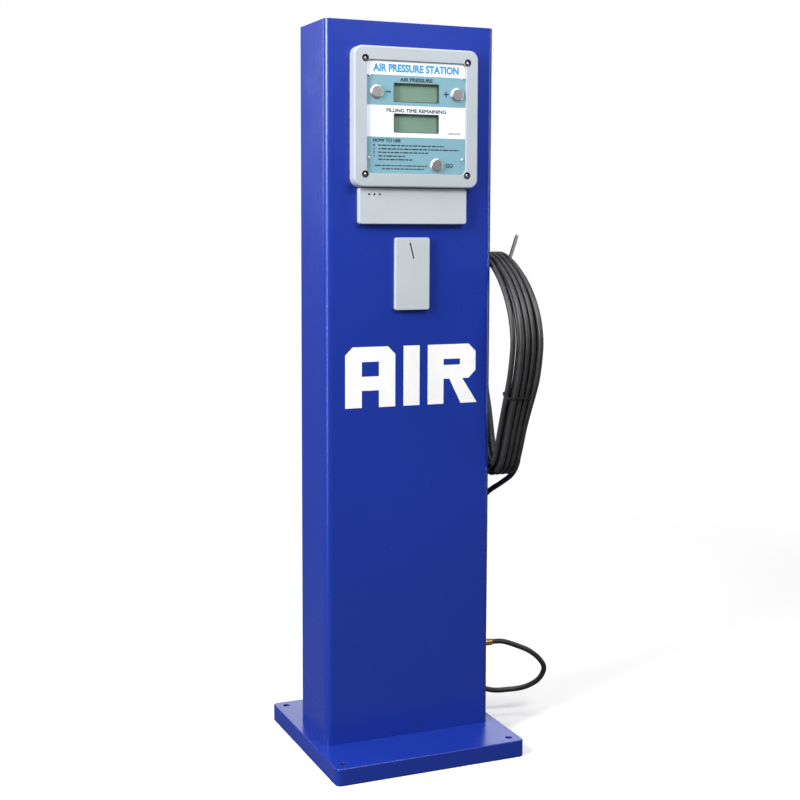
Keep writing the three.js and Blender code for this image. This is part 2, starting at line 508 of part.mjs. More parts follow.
function makeChuck() {
  const { x, y, top } = CHUCK;
  const shell = turned('z', [x, y, top],
    [[0, -84], [4, -84], [6.4, -80], [6.4, -66], [8, -62], [8, -30], [6.6, -26], [6.6, 0], [0, 0]]);
  const ears = block([x - 6, y + 4, top - 52], [x + 6, y + 13, top - 42]);
  const slot = block([x - 3, y + 6.5, top - 60], [x + 3, y + 20, top - 30]);
  add('chuck_body', cut(join(shell, ears), slot), BRASS);
  const arm = sideSlab([[0, -4], [3, -4], [6, 8], [9, 30], [7, 31], [2, 12], [0, 4]], -2.6, 2.6)
    .translate(x, y + 9.5, top - 47);
  add('chuck_lever', arm, STEEL);
}

makeBase();
makeColumn();
makeDoor();
makeHead();
makeCoinParts();
makeAirParts();
makePowerParts();
makeHook();
makeHose();
makeChuck();

export default object;
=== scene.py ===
# Pedestal tyre inflator: the fine meshes, materials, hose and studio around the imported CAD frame.
# Shapes are drawn in millimetres in the frame's own axes (+Z up, front towards -Y), then scaled to metres.
import json
import math

import bmesh
import bpy
from mathutils import Matrix, Vector


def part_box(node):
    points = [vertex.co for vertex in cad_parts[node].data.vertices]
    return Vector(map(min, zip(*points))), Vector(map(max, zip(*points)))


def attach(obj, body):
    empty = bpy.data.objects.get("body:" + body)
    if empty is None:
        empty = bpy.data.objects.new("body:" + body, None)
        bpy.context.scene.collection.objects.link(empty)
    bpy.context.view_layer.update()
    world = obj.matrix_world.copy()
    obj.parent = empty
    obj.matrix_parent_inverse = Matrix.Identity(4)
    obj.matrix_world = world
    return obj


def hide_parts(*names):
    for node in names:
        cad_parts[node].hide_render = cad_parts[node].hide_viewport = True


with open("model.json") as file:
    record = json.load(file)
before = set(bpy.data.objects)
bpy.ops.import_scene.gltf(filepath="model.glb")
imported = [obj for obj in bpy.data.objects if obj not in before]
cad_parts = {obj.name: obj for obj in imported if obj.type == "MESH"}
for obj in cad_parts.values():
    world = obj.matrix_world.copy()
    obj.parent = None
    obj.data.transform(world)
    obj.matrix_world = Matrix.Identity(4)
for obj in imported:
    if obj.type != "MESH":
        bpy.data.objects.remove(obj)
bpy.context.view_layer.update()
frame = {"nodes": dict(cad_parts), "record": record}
MM = 0.001
ROOT = "pedestal"


def extent(node):
    """The lowest and highest corners of a CAD node, in millimetres."""
    lo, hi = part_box(node)
    return [v / MM for v in lo], [v / MM for v in hi]


def centre(node):
    lo, hi = extent(node)
    return [(a + b) / 2 for a, b in zip(lo, hi)]


def plate_of(node):
    """A flat piece's width, height, middle in (X, Z), and the depths of its -Y and +Y faces."""
    (x0, front, z0), (x1, rear, z1) = extent(node)
    return x1 - x0, z1 - z0, ((x0 + x1) / 2, (z0 + z1) / 2), front, rear


def added(name, data):
    """A new object in the scene."""
    obj = bpy.data.objects.new(name, data)
    bpy.context.collection.objects.link(obj)
    return obj


# ---- camera
CAMERA_AT = (-971, -2297.5, 955.3)
CAMERA_TURN = math.radians(23.11)  # to the right of straight ahead
CAMERA_DIP = math.radians(5.36)
CAMERA_ROLL = math.radians(0.19)
CAMERA_LENS = 61.97
CAMERA_SHIFT = -0.06


def make_camera():
    flat = math.cos(CAMERA_DIP)
    look = Vector((math.sin(CAMERA_TURN) * flat, math.cos(CAMERA_TURN) * flat, -math.sin(CAMERA_DIP)))
    level = look.cross(Vector((0, 0, 1))).normalized()
    upright = level.cross(look)
    right = level * math.cos(CAMERA_ROLL) + upright * math.sin(CAMERA_ROLL)
    up = right.cross(look)
    camera = added("camera", bpy.data.cameras.new("camera"))
    turn = Matrix((right, up, -look)).transposed().to_4x4()
    camera.matrix_world = Matrix.Translation(Vector(CAMERA_AT) * MM) @ turn
    camera.data.sensor_width = 36
    camera.data.lens = CAMERA_LENS
    camera.data.shift_y = CAMERA_SHIFT
    camera.data.clip_end = 50
    bpy.context.scene.camera = camera


# ---- curves and routes
def spline(points, closed=False, per_segment=12):
    """A centripetal Catmull-Rom curve through the points, as a dense list."""
    pts = [Vector(p) for p in points]
    if closed:
        pts = [pts[-1]] + pts + pts[:2]
    else:
        pts = [2 * pts[0] - pts[1]] + pts + [2 * pts[-1] - pts[-2]]
    out = []
    for p0, p1, p2, p3 in zip(pts, pts[1:], pts[2:], pts[3:]):
        t1 = max((p1 - p0).length, 1e-9) ** 0.5
        t2 = t1 + max((p2 - p1).length, 1e-9) ** 0.5
        t3 = t2 + max((p3 - p2).length, 1e-9) ** 0.5
        for i in range(per_segment):
            t = t1 + (t2 - t1) * i / per_segment
            a1 = p0 * ((t1 - t) / t1) + p1 * (t / t1)
            a2 = p1 * ((t2 - t) / (t2 - t1)) + p2 * ((t - t1) / (t2 - t1))
            a3 = p2 * ((t3 - t) / (t3 - t2)) + p3 * ((t - t2) / (t3 - t2))
            b1 = a1 * ((t2 - t) / t2) + a2 * (t / t2)
            b2 = a2 * ((t3 - t) / (t3 - t1)) + a3 * ((t - t1) / (t3 - t1))
            out.append(b1 * ((t2 - t) / (t2 - t1)) + b2 * ((t - t1) / (t2 - t1)))
    if not closed:
        out.append(pts[-2].copy())
    return out


def length_of(points):
    return sum((b - a).length for a, b in zip(points, points[1:]))


def resample(points, step):
    """The same route with points an equal distance apart, close to step."""
    count = max(2, round(length_of(points) / step))
    spacing = length_of(points) / count
    out, carried, due = [points[0].copy()], 0.0, spacing
    for a, b in zip(points, points[1:]):
        span = (b - a).length
        while carried + span >= due - 1e-9 and len(out) < count:
            out.append(a.lerp(b, (due - carried) / span))
            due += spacing
        carried += span
    out.append(points[-1].copy())
    return out


def ease(value, start, end):
    t = min(max((value - start) / (end - start), 0), 1)
    return t * t * (3 - 2 * t)


# ---- meshes
def srgb(r, g, b):
    """Linear colour of an 8-bit sRGB one."""
    parts = (r / 255, g / 255, b / 255)
    return tuple(c / 12.92 if c <= 0.04045 else ((c + 0.055) / 1.055) ** 2.4 for c in parts)


def place(name, mesh, slot, look=None, body=ROOT, replaces=None, at=(0, 0, 0)):
    """Makes a piece of a mesh in millimetres, in its slot's material unless another look is named."""
    mesh.transform(Matrix.Scale(MM, 4))
    obj = added(name, mesh)
    obj.location = Vector(at) * MM
    mesh.materials.clear()
    mesh.materials.append(look or SLOT_LOOKS[slot])
    for polygon in mesh.polygons:
        polygon.use_smooth = True
        polygon.material_index = 0
    mesh.set_sharp_from_angle(angle=math.radians(35))
    even = obj.modifiers.new("even_shading", "WEIGHTED_NORMAL")
    even.keep_sharp = True
    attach(obj, body)
    if replaces:
        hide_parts(replaces)
    return obj


def tidy(mesh, merge=1e-3):
    """Merges doubled points and turns the faces outwards."""
    work = bmesh.new()
    work.from_mesh(mesh)
    bmesh.ops.remove_doubles(work, verts=work.verts, dist=merge)
    bmesh.ops.dissolve_degenerate(work, edges=work.edges, dist=merge)
    bmesh.ops.recalc_face_normals(work, faces=work.faces)
    work.to_mesh(mesh)
    work.free()
    return mesh


def mesh_of(verts, faces):
    mesh = bpy.data.meshes.new("shape")
    mesh.from_pydata([tuple(v) for v in verts], [], faces)
    return tidy(mesh)


def loft(loops, ring=False):
    """Skins closed loops of equal length in order. The ends are capped, or joined where ring is true."""
    n = len(loops[0])
    verts = [p for loop in loops for p in loop]
    pairs = list(zip(range(len(loops) - 1), range(1, len(loops))))
    if ring:
        pairs.append((len(loops) - 1, 0))
    faces = []
    for a, b in pairs:
        for i in range(n):
            j = (i + 1) % n
            faces.append((a * n + i, a * n + j, b * n + j, b * n + i))
    if not ring:
        faces.append(tuple(reversed(range(n))))
        faces.append(tuple((len(loops) - 1) * n + i for i in range(n)))
    return mesh_of(verts, faces)


def rounded_rect(w, h, r, at=(0, 0), steps=8):
    """Points of a rectangle with round corners, anticlockwise, about a centre."""
    r = max(min(r, w / 2, h / 2), 0.01)
    out = []
    for sx, sy, start in ((1, -1, -90), (1, 1, 0), (-1, 1, 90), (-1, -1, 180)):
        for i in range(steps + 1):
            a = math.radians(start + 90 * i / steps)
            out.append((at[0] + sx * (w / 2 - r) + r * math.cos(a),
                        at[1] + sy * (h / 2 - r) + r * math.sin(a)))
    return out


def facing(points, y):
    """Points drawn in (X, Z) set at one depth."""
    return [Vector((x, y, z)) for x, z in points]


def level(points, z):
    """Points drawn in (X, Y) set at one height."""
    return [Vector((x, y, z)) for x, y in points]


def rounding(edge, rounds=5):
    """(inset, fall) pairs of a quarter-round edge, from the side face to the flat face."""
    return [(edge * (1 - math.cos(a)), edge * (1 - math.sin(a))) for a in
            (math.pi / 2 * i / rounds for i in range(rounds + 1))]


def slab(w, h, r, at, rear, front, edge, steps=8):
    """A plate facing -Y or +Y with round corners and a rounded edge round its front."""
    out = 1 if front > rear else -1
    profile = [(0, rear)] + [(inset, front - out * fall) for inset, fall in rounding(edge)]
    return loft([facing(rounded_rect(w - 2 * d, h - 2 * d, r - d, at, steps), y) for d, y in profile])


def lathe(profile, at=(0, 0, 0), axis="z", sides=64):
    """A turned piece about an axis through at. The profile lists (radius, distance along the axis)."""
    turn = {"z": Matrix.Identity(3), "y": Matrix.Rotation(-math.pi / 2, 3, "X"),
            "x": Matrix.Rotation(math.pi / 2, 3, "Y")}[axis]
    loops = []
    for r, d in profile:
        angles = (math.tau * (i + 0.5) / sides for i in range(sides))
        r = max(r, 0.001)
        loops.append([turn @ Vector((r * math.cos(a), r * math.sin(a), d)) + Vector(at) for a in angles])
    return loft(loops)


def pin(r, a, b, at=(0, 0, 0), axis="z", sides=32):
    return lathe([(r, a), (r, b)], at, axis, sides)


def block(lo, hi, bevel=0.0):
    """A box between two corners with rounded edges."""
    x0, y0, z0 = lo
    x1, y1, z1 = hi
    verts = [(x, y, z) for x in (x0, x1) for y in (y0, y1) for z in (z0, z1)]
    faces = [(0, 1, 3, 2), (4, 6, 7, 5), (0, 4, 5, 1), (2, 3, 7, 6), (0, 2, 6, 4), (1, 5, 7, 3)]
    mesh = mesh_of(verts, faces)
    if bevel:
        soften(mesh, bevel)
    return mesh


def soften(mesh, width):
    """Rounds the sharp edges of a mesh."""
    work = bmesh.new()
    work.from_mesh(mesh)
    sharp = [e for e in work.edges if len(e.link_faces) == 2 and e.calc_face_angle(0) > math.radians(30)]
    bmesh.ops.bevel(work, geom=sharp, offset=width, segments=2, profile=0.5, affect="EDGES",
                    clamp_overlap=True)
    work.to_mesh(mesh)
    work.free()
    return mesh


def evaluated(obj):
    """The mesh that an object comes to with its modifiers or its text applied."""
    bpy.context.view_layer.update()
    return bpy.data.meshes.new_from_object(obj.evaluated_get(bpy.context.evaluated_depsgraph_get()))


def solid(mesh, tools, operation):
    """The mesh after the same boolean step with each tool in turn."""
    host = added("host", mesh)
    helpers = []
    for tool in tools:
        helper = added("tool", tool)
        modifier = host.modifiers.new("step", "BOOLEAN")
        modifier.operation = operation
        modifier.solver = "EXACT"
        modifier.object = helper
        helpers.append(helper)
    result = evaluated(host)
    for obj in [host] + helpers:
        bpy.data.objects.remove(obj)
    return tidy(result)


def cut(mesh, *tools):
    return solid(mesh, tools, "DIFFERENCE")


def fuse(mesh, *others):
    return solid(mesh, others, "UNION")


def turned_about(mesh, angle, axis, at):
    """Turns a mesh about an axis through a point."""
    pivot = Matrix.Translation(Vector(at))
    mesh.transform(pivot @ Matrix.Rotation(angle, 4, axis) @ pivot.inverted())
    return mesh


def polyline(curve, points):
    line = curve.splines.new("POLY")
    line.points.add(len(points) - 1)
    for target, p in zip(line.points, points):
        target.co = (*p, 1)
    return line


def hose_curve(name, points):
    """A hose along a route in millimetres, as a curve of one open spline."""
    curve = bpy.data.curves.new(name, "CURVE")
    curve.dimensions = "3D"
    curve.bevel_depth = HOSE_RADIUS * MM
    curve.bevel_resolution = 6
    curve.use_fill_caps = True
    polyline(curve, [p * MM for p in points]).use_smooth = True
    curve.materials.append(RUBBER)
    obj = added(name, curve)
    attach(obj, ROOT)
    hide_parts("hose_coil", "hose_run")
    return obj


# ---- materials
class Look:
    """A material with short ways to add texture, colour variation and bump."""

    def __init__(self, name, colour, roughness=0.5, metallic=0.0, coat=0.0, coat_roughness=0.05,
                 specular=0.5):
        self.material = bpy.data.materials.new(name)
        self.material.use_nodes = True
        self.tree = self.material.node_tree
        self.shader = self.tree.nodes["Principled BSDF"]
        self.colour = colour
        values = {"Base Color": (*colour, 1), "Roughness": roughness, "Metallic": metallic,
                  "Coat Weight": coat, "Coat Roughness": coat_roughness, "Specular IOR Level": specular}
        for socket, value in values.items():
            self.shader.inputs[socket].default_value = value
        self.where = self.node("ShaderNodeTexCoord").outputs["Object"]
        self.normal = None

    def node(self, kind, **values):
        made = self.tree.nodes.new(kind)
        for key, value in values.items():
            setattr(made, key, value)
        return made

    def link(self, a, b):
        self.tree.links.new(a, b)

    def stretched(self, scale):
        """Coordinates scaled unevenly, for brushed or drawn surfaces."""
        mapping = self.node("ShaderNodeMapping")
        mapping.inputs["Scale"].default_value = scale
        self.link(self.where, mapping.inputs["Vector"])
        return mapping.outputs["Vector"]

    def split(self):
        parts = self.node("ShaderNodeSeparateXYZ")
        self.link(self.where, parts.inputs[0])
        return parts.outputs

    def maths(self, operation, a, b=None):
        made = self.node("ShaderNodeMath", operation=operation)
        for socket, value in zip(made.inputs, (a, b)):
            if isinstance(value, (int, float)):
                socket.default_value = value
            elif value is not None:
                self.link(value, socket)
        return made.outputs[0]

    def radius(self, a, b):
        """How far a point lies from the axis across which a and b are measured."""
        return self.maths("SQRT", self.maths("ADD", self.maths("POWER", a, 2), self.maths("POWER", b, 2)))

    def noise(self, scale, detail=2.0, rough=0.5, vector=None):
        made = self.node("ShaderNodeTexNoise")
        made.inputs["Scale"].default_value = scale
        made.inputs["Detail"].default_value = detail
        made.inputs["Roughness"].default_value = rough
        self.link(vector or self.where, made.inputs["Vector"])
        return made.outputs["Fac"]

    def cells(self, scale):
        made = self.node("ShaderNodeTexVoronoi")
        made.inputs["Scale"].default_value = scale
        self.link(self.where, made.inputs["Vector"])
        return made.outputs["Distance"]

    def spread(self, factor, low, high, start=0.3, end=0.7):
        """A number that goes from low to high as the factor goes from start to end."""
        made = self.node("ShaderNodeMapRange")
        for socket, value in (("From Min", start), ("From Max", end), ("To Min", low), ("To Max", high)):
            made.inputs[socket].default_value = value
        self.link(factor, made.inputs["Value"])
        return made.outputs["Result"]

    def tint(self, factor, other, start=0.3, end=0.7, onto=None):
        """Mixes another colour in where the factor is high."""
        mix = self.node("ShaderNodeMix", data_type="RGBA")
        self.link(self.spread(factor, 0, 1, start, end), mix.inputs["Factor"])
        if onto:
            self.link(onto, mix.inputs[6])
        else:
            mix.inputs[6].default_value = (*self.colour, 1)
        mix.inputs[7].default_value = (*other, 1)
        self.link(mix.outputs[2], self.shader.inputs["Base Color"])
        return mix.outputs[2]

    def uneven_gloss(self, factor, low, high):
        self.link(self.spread(factor, low, high), self.shader.inputs["Roughness"])

    def bump(self, height, depth, strength=1.0):
        """Raises the surface by up to depth metres where height is 1. Several bumps add up."""
        made = self.node("ShaderNodeBump")
        made.inputs["Distance"].default_value = depth
        made.inputs["Strength"].default_value = strength
        self.link(height, made.inputs["Height"])
        if self.normal:
            self.link(self.normal, made.inputs["Normal"])
        self.normal = made.outputs["Normal"]
        self.link(self.normal, self.shader.inputs["Normal"])


def scaled(colour, k):
    return tuple(min(c * k, 1) for c in colour)


def textured(look, tint, gloss, *bumps):
    """Varies colour by (scale, detail, shade), gloss by (scale, detail, low, high), then adds relief."""
    scale, detail, shade, *ends = tint
    look.tint(look.noise(scale, detail), scaled(look.colour, shade), *ends)
    scale, detail, low, high = gloss
    look.uneven_gloss(look.noise(scale, detail), low, high)
    for scale, detail, depth, strength in bumps:
        look.bump(look.noise(scale, detail), depth, strength)
    return look.material


def powder_coat(name, colour):
    """Glossy powder coat on sheet steel: fine orange peel and a slight unevenness of colour."""
    look = Look(name, colour, roughness=0.25, specular=0.5)
    return textured(look, (3, 2, 0.94), (12, 2, 0.24, 0.29), (420, 1, 0.00001, 0.15), (90, 1, 0.00002, 0.08))


def moulded(name, colour, grain=1700, roughness=0.48):
    """Injection-moulded plastic with a fine spark-eroded grain."""
    look = Look(name, colour, roughness=roughness, specular=0.45)
    gloss = (60, 3, roughness - 0.06, roughness + 0.08)
    return textured(look, (14, 3, 0.94), gloss, (grain, 2, 0.00003, 0.35))


def drawn_metal(name, colour, along="z", roughness=0.3):
    """Satin metal with fine drawn lines along one axis."""
    look = Look(name, colour, roughness=roughness, metallic=1)
    lines = {"x": (40, 2600, 2600), "y": (2600, 40, 2600), "z": (2600, 2600, 40)}[along]
    grain = look.noise(1, 2, 0.6, look.stretched(lines))
    look.uneven_gloss(grain, roughness - 0.08, roughness + 0.12)
    look.tint(look.noise(30, 2), scaled(colour, 0.86))
    look.bump(grain, 0.00001, 0.5)
    return look.material


def turned_steel(name, colour):
    """Steel faced on a lathe: fine rings about the piece's own Y axis."""
    look = Look(name, colour, roughness=0.28, metallic=1)
    x, _, z = look.split()
    spread = look.node("ShaderNodeCombineXYZ")
    look.link(look.radius(x, z), spread.inputs[0])
    rings = look.noise(4200, 2, 0.5, spread.outputs[0])
    look.uneven_gloss(rings, 0.2, 0.38)
    look.tint(look.noise(400, 2), scaled(colour, 0.93))
    look.bump(rings, 0.00001, 0.7)
    return look.material


def zinc_plate(name, colour):
    """Bright zinc plate: pale blue-grey with soft spangle."""
    look = Look(name, colour, roughness=0.42, metallic=1)
    look.tint(look.cells(160), scaled(colour, 0.8), 0.1, 0.8)
    look.uneven_gloss(look.noise(45, 3), 0.34, 0.52)
    look.bump(look.noise(400, 2), 0.00002, 0.3)
    return look.material


def brass_metal(name, colour):
    look = Look(name, colour, roughness=0.26, metallic=1)
    return textured(look, (120, 3, 0.78), (220, 3, 0.18, 0.36), (900, 2, 0.000015, 0.4))


def hose_rubber(name, colour):
    """Smooth black hose cover: a soft sheen, faint wrap marks and a little bloom."""
    look = Look(name, colour, roughness=0.42, specular=0.5)
    return textured(look, (60, 4, 1.6, 0.45, 0.8), (150, 3, 0.36, 0.5), (1500, 2, 0.00003, 0.3),
                    (240, 1, 0.00005, 0.2))


def banded_overlay(name, bands, edges):
    """Printed polyester overlay: flat colour bands stacked upwards, with the heights where they change."""
    look = Look(name, bands[0], roughness=0.34, coat=0.2, coat_roughness=0.2)
    height = look.split()[2]
    colour = None
    for band, edge in zip(bands[1:], edges):
        colour = look.tint(height, band, edge * MM - 0.0001, edge * MM + 0.0001, colour)
    mix = look.node("ShaderNodeMix", data_type="RGBA", blend_type="MULTIPLY")
    look.link(look.spread(look.noise(25, 3), 0.0, 0.12), mix.inputs["Factor"])
    look.link(colour, mix.inputs[6])
    mix.inputs[7].default_value = (0.8, 0.85, 0.88, 1)
    look.link(mix.outputs[2], look.shader.inputs["Base Color"])
    look.uneven_gloss(look.noise(80, 2), 0.28, 0.42)
    look.bump(look.noise(2400, 2), 0.00001, 0.5)
    return look.material


def display_glass(name, colour):
    """Reflective liquid-crystal glass with nothing lit, with a soft unevenness."""
    look = Look(name, colour, roughness=0.2, coat=0.3, coat_roughness=0.05)
    return textured(look, (22, 2, 0.9), (300, 2, 0.16, 0.26), (1900, 1, 0.000006, 0.4))


def circuit_board(name, colour):
    look = Look(name, colour, roughness=0.35, coat=0.3)
    look.tint(look.cells(260), (0.03, 0.3, 0.1), 0.2, 0.5)
    look.uneven_gloss(look.noise(300, 2), 0.25, 0.5)
    look.bump(look.cells(260), 0.00005, 0.5)
    return look.material


def flat_ink(name, colour, roughness=0.45):
    """Screen ink or cut vinyl: nearly flat, with a faint unevenness."""
    look = Look(name, colour, roughness=roughness)
    gloss = (90, 2, roughness - 0.08, roughness + 0.08)
    return textured(look, (40, 3, 0.95), gloss, (1200, 2, 0.00001, 0.4))


WHITE = srgb(232, 238, 248)
TEAL = srgb(118, 160, 174)
BLUE_COAT = powder_coat("blue_powder_coat", (0.0085, 0.031, 0.29))
GREY_ABS = moulded("grey_moulding", srgb(168, 175, 182))
GREY_PAINT = moulded("grey_paint", srgb(178, 186, 191), 2600, 0.4)
BLACK_ABS = moulded("black_moulding", (0.016, 0.016, 0.018), 1500, 0.45)
STEEL = drawn_metal("satin_steel", (0.62, 0.63, 0.65))
BUTTON_STEEL = turned_steel("turned_steel", (0.86, 0.86, 0.87))
ZINC = zinc_plate("zinc_plate", (0.55, 0.58, 0.62))
BRASS = brass_metal("brass", (0.78, 0.57, 0.24))
RUBBER = hose_rubber("hose_cover", (0.022, 0.022, 0.023))
BAND_EDGES = [1102.4, 1156.2, 1207.8]
OVERLAY = banded_overlay("printed_overlay", [TEAL, WHITE, TEAL, WHITE], BAND_EDGES)
GLASS = display_glass("display_glass", srgb(118, 146, 130))
BOARD = circuit_board("circuit_board", (0.01, 0.10, 0.03))
ALUMINIUM = drawn_metal("machined_aluminium", (0.72, 0.73, 0.75), "x", 0.34)
RED = moulded("red_grip", (0.5, 0.02, 0.015), 900, 0.4)
# Dark plastic of the display surrounds: partly the frame's own colour, partly painted shade on the walls of
# the display windows.
DISPLAY_RIM_AND_SHADE = moulded("display_surround_and_shade", (0.05, 0.075, 0.06), 1500, 0.5)
ROD_ZINC = drawn_metal("zinc_rod", (0.36, 0.37, 0.39), "x", 0.55)
VINYL = flat_ink("white_vinyl", (0.88, 0.88, 0.88), 0.5)
BLUE_INK = flat_ink("blue_ink", srgb(48, 140, 196))
DARK_INK = flat_ink("dark_ink", srgb(30, 46, 58))
SLOT_LOOKS = {
    "blue_paint": BLUE_COAT, "zinc": ZINC, "bright_steel": STEEL, "grey_plastic": GREY_ABS,
    "grey_paint": GREY_PAINT, "lcd": GLASS, "black_plastic": BLACK_ABS, "pcb": BOARD, "aluminium": ALUMINIUM,
    "brass": BRASS, "red_paint": RED, "rubber": RUBBER, "fascia_print": OVERLAY,
}


def dress_frame():
    """Gives every CAD node the material of its slot."""
    for part in frame["record"]["subparts"]:
        node = frame["nodes"][part["node"]]
        node.data.materials.clear()
        node.data.materials.append(SLOT_LOOKS[part["material_slot"]])


# ---- base and column
ANCHOR = {"inset": 21, "r": 6}
CONDUIT = (-90, 0, 18)
AIR_INLET = (70, 10, 10.6)
FOOT = {"corner": 10, "wall": 4, "skin": 3, "edge": 2}
COLUMN = {"front_r": 12, "rear_r": 3, "sheet": 2}
THROUGH = 10  # how far a cutting tool reaches past the sheet that it cuts
HEAD_OPENING = (86, 88)  # half width and half height
COIN_OPENING = ((-20, 20), (865, 925))
CABLE_HOLE = {"r": 5, "z": 990}


def make_base():
    (x0, y0, _), (x1, y1, top) = extent("base_pan")
    w, d = x1 - x0, y1 - y0
    wall, r = FOOT["wall"], ANCHOR["r"]
    profile = [(wall, top - FOOT["skin"]), (wall, 0), (0.4, 0), (0, 0.4)]
    profile += [(inset, top - fall) for inset, fall in rounding(FOOT["edge"])]
    pan = loft([level(rounded_rect(w - 2 * i, d - 2 * i, FOOT["corner"] - i), z) for i, z in profile])
    tools = []
    for sx in (-1, 1):
        for sy in (-1, 1):
            at = (sx * (w / 2 - ANCHOR["inset"]), sy * (d / 2 - ANCHOR["inset"]), 0)
            tools.append(lathe([(r, -2), (r, top - 0.6), (r + 1.2, top + 0.6)], at))
    tools += [pin(hole, 1, top + 2, (x, y, 0)) for x, y, hole in (CONDUIT, AIR_INLET)]
    place("base_cover", cut(pan, *tools), "blue_paint", replaces="base_pan")


def column_outline(inset, steps=12):
    """The column's outline in plan, drawn in by some distance."""
    (x0, y0, _), (x1, y1, _) = extent("column_shell")
    rf = COLUMN["front_r"]
    rr = COLUMN["rear_r"]
    corners = ((x1, y0, rf, -90), (x1, y1, rr, 0), (x0, y1, rr, 90), (x0, y0, rf, 180))
    out = []
    for x, y, r, start in corners:
        sx, sy = math.copysign(1, x), math.copysign(1, y)
        bend = max(r - inset, 0.6)
        cx = x - sx * (inset + bend)
        cy = y - sy * (inset + bend)
        for i in range(steps + 1):
            a = math.radians(start + 90 * i / steps)
            out.append((cx + bend * math.cos(a), cy + bend * math.sin(a)))
    return out


def make_column():
    (_, front, foot), (_, rear, top) = extent("column_shell")
    t = COLUMN["sheet"]
    profile = [(t, foot), (0, foot), (0, top - 0.5), (0.15, top - 0.15), (0.5, top)]
    profile += [(t - 0.3, top), (t, top - 0.3)]
    shell = loft([level(column_outline(i), z) for i, z in profile], ring=True)
    door_w, door_h, door_at, _, _ = plate_of("rear_door")
    hx, _, hz = centre("control_bezel")
    _, hook_y, _ = centre("hook_nut")
    out, inward = front - THROUGH, front + THROUGH
    half_w, half_h = HEAD_OPENING
    (cx0, cx1), (cz0, cz1) = COIN_OPENING
    tools = [slab(door_w + 4, door_h + 4, 4, door_at, rear - THROUGH, rear + THROUGH, 0.01),
             block((hx - half_w, out, hz - half_h), (hx + half_w, inward, hz + half_h)),
             block((cx0, out, cz0), (cx1, inward, cz1)),
             pin(CABLE_HOLE["r"], out, inward, (SOUND_HOLES["x"][1], 0, CABLE_HOLE["z"]), "y")]
    for x, z in screw_places(BEZEL_SCREW):
        tools.append(pin(BEZEL_SCREW["hole_r"], out, inward, (x, 0, z), "y", 16))
    side = (WALL_X - THROUGH, WALL_X + THROUGH)
    tools.append(pin(7, *side, (0, OUTLET[1], OUTLET[2]), "x"))
    tools.append(pin(4, *side, (0, hook_y, HOOK["z"]), "x"))
    place("column_skin", cut(shell, *tools), "blue_paint", replaces="column_shell")

    (_, _, lid_foot), (_, _, lid_top) = extent("top_cap")
    gap = t + 0.3
    lid = [(gap + t, lid_top - t), (gap + t, lid_foot), (gap, lid_foot)]
    lid += [(gap + i, lid_top - fall) for i, fall in rounding(0.8, 3)]
    place("top_lid", loft([level(column_outline(i), z) for i, z in lid]), "blue_paint",
          replaces="top_cap")


# ---- rear door
VENTS = {"count": 5, "w": 100, "h": 6, "z": 1143, "pitch": 18}
HINGE = {"r": 4.4, "bore": 2.3, "sheet": 2, "gap": 0.4, "screw_in": 9}


def make_door():
    w, h, at, y0, y1 = plate_of("rear_door")
    t = COLUMN["sheet"]
    profile = [(t, y1 - t), (t, y0), (0, y0)] + [(i, y1 - fall) for i, fall in rounding(1.6)]
    tray = loft([facing(rounded_rect(w - 2 * i, h - 2 * i, 2.5 - i, at), y) for i, y in profile])
    lock_x, _, lock_z = centre("lock_barrel")
    tools = [pin(9.8, y1 - 10, y1 + 5, (lock_x, 0, lock_z), "y")]
    for i in range(VENTS["count"]):
        louvre_at = (0, VENTS["z"] + VENTS["pitch"] * i)
        tools.append(slab(VENTS["w"], VENTS["h"], 2.9, louvre_at, y1 - 5, y1 + 5, 0.01))
    place("door_skin", cut(tray, *tools), "blue_paint", body="door", replaces="rear_door")

    for end in ("upper", "lower"):
        make_hinge(end)

    at = (lock_x, y1, lock_z)
    barrel = lathe([(7, -20), (9.5, -20), (9.5, 0.3), (12, 0.3), (12, 2.2), (11.4, 3), (8.6, 3), (7, 2.6)],
                   at, "y")
    bore = pin(7, -22, 5, at, "y", 64)
    place("lock_housing", cut(barrel, bore), "bright_steel", body="door", replaces="lock_barrel")
    plug = lathe([(6.7, -24), (6.7, 1.9), (6.2, 2.4)], at, "y")
    blade = block((lock_x - 7, y1 - 24, lock_z - 7), (lock_x + 7, y1 - 21, lock_z + 32), 0.6)
    key = block((lock_x - 0.8, y1 + 0.5, lock_z - 4), (lock_x + 0.8, y1 + 4, lock_z + 4))
    place("lock_plug", cut(fuse(plug, blade), key), "bright_steel", body="lock", replaces="lock_cam")


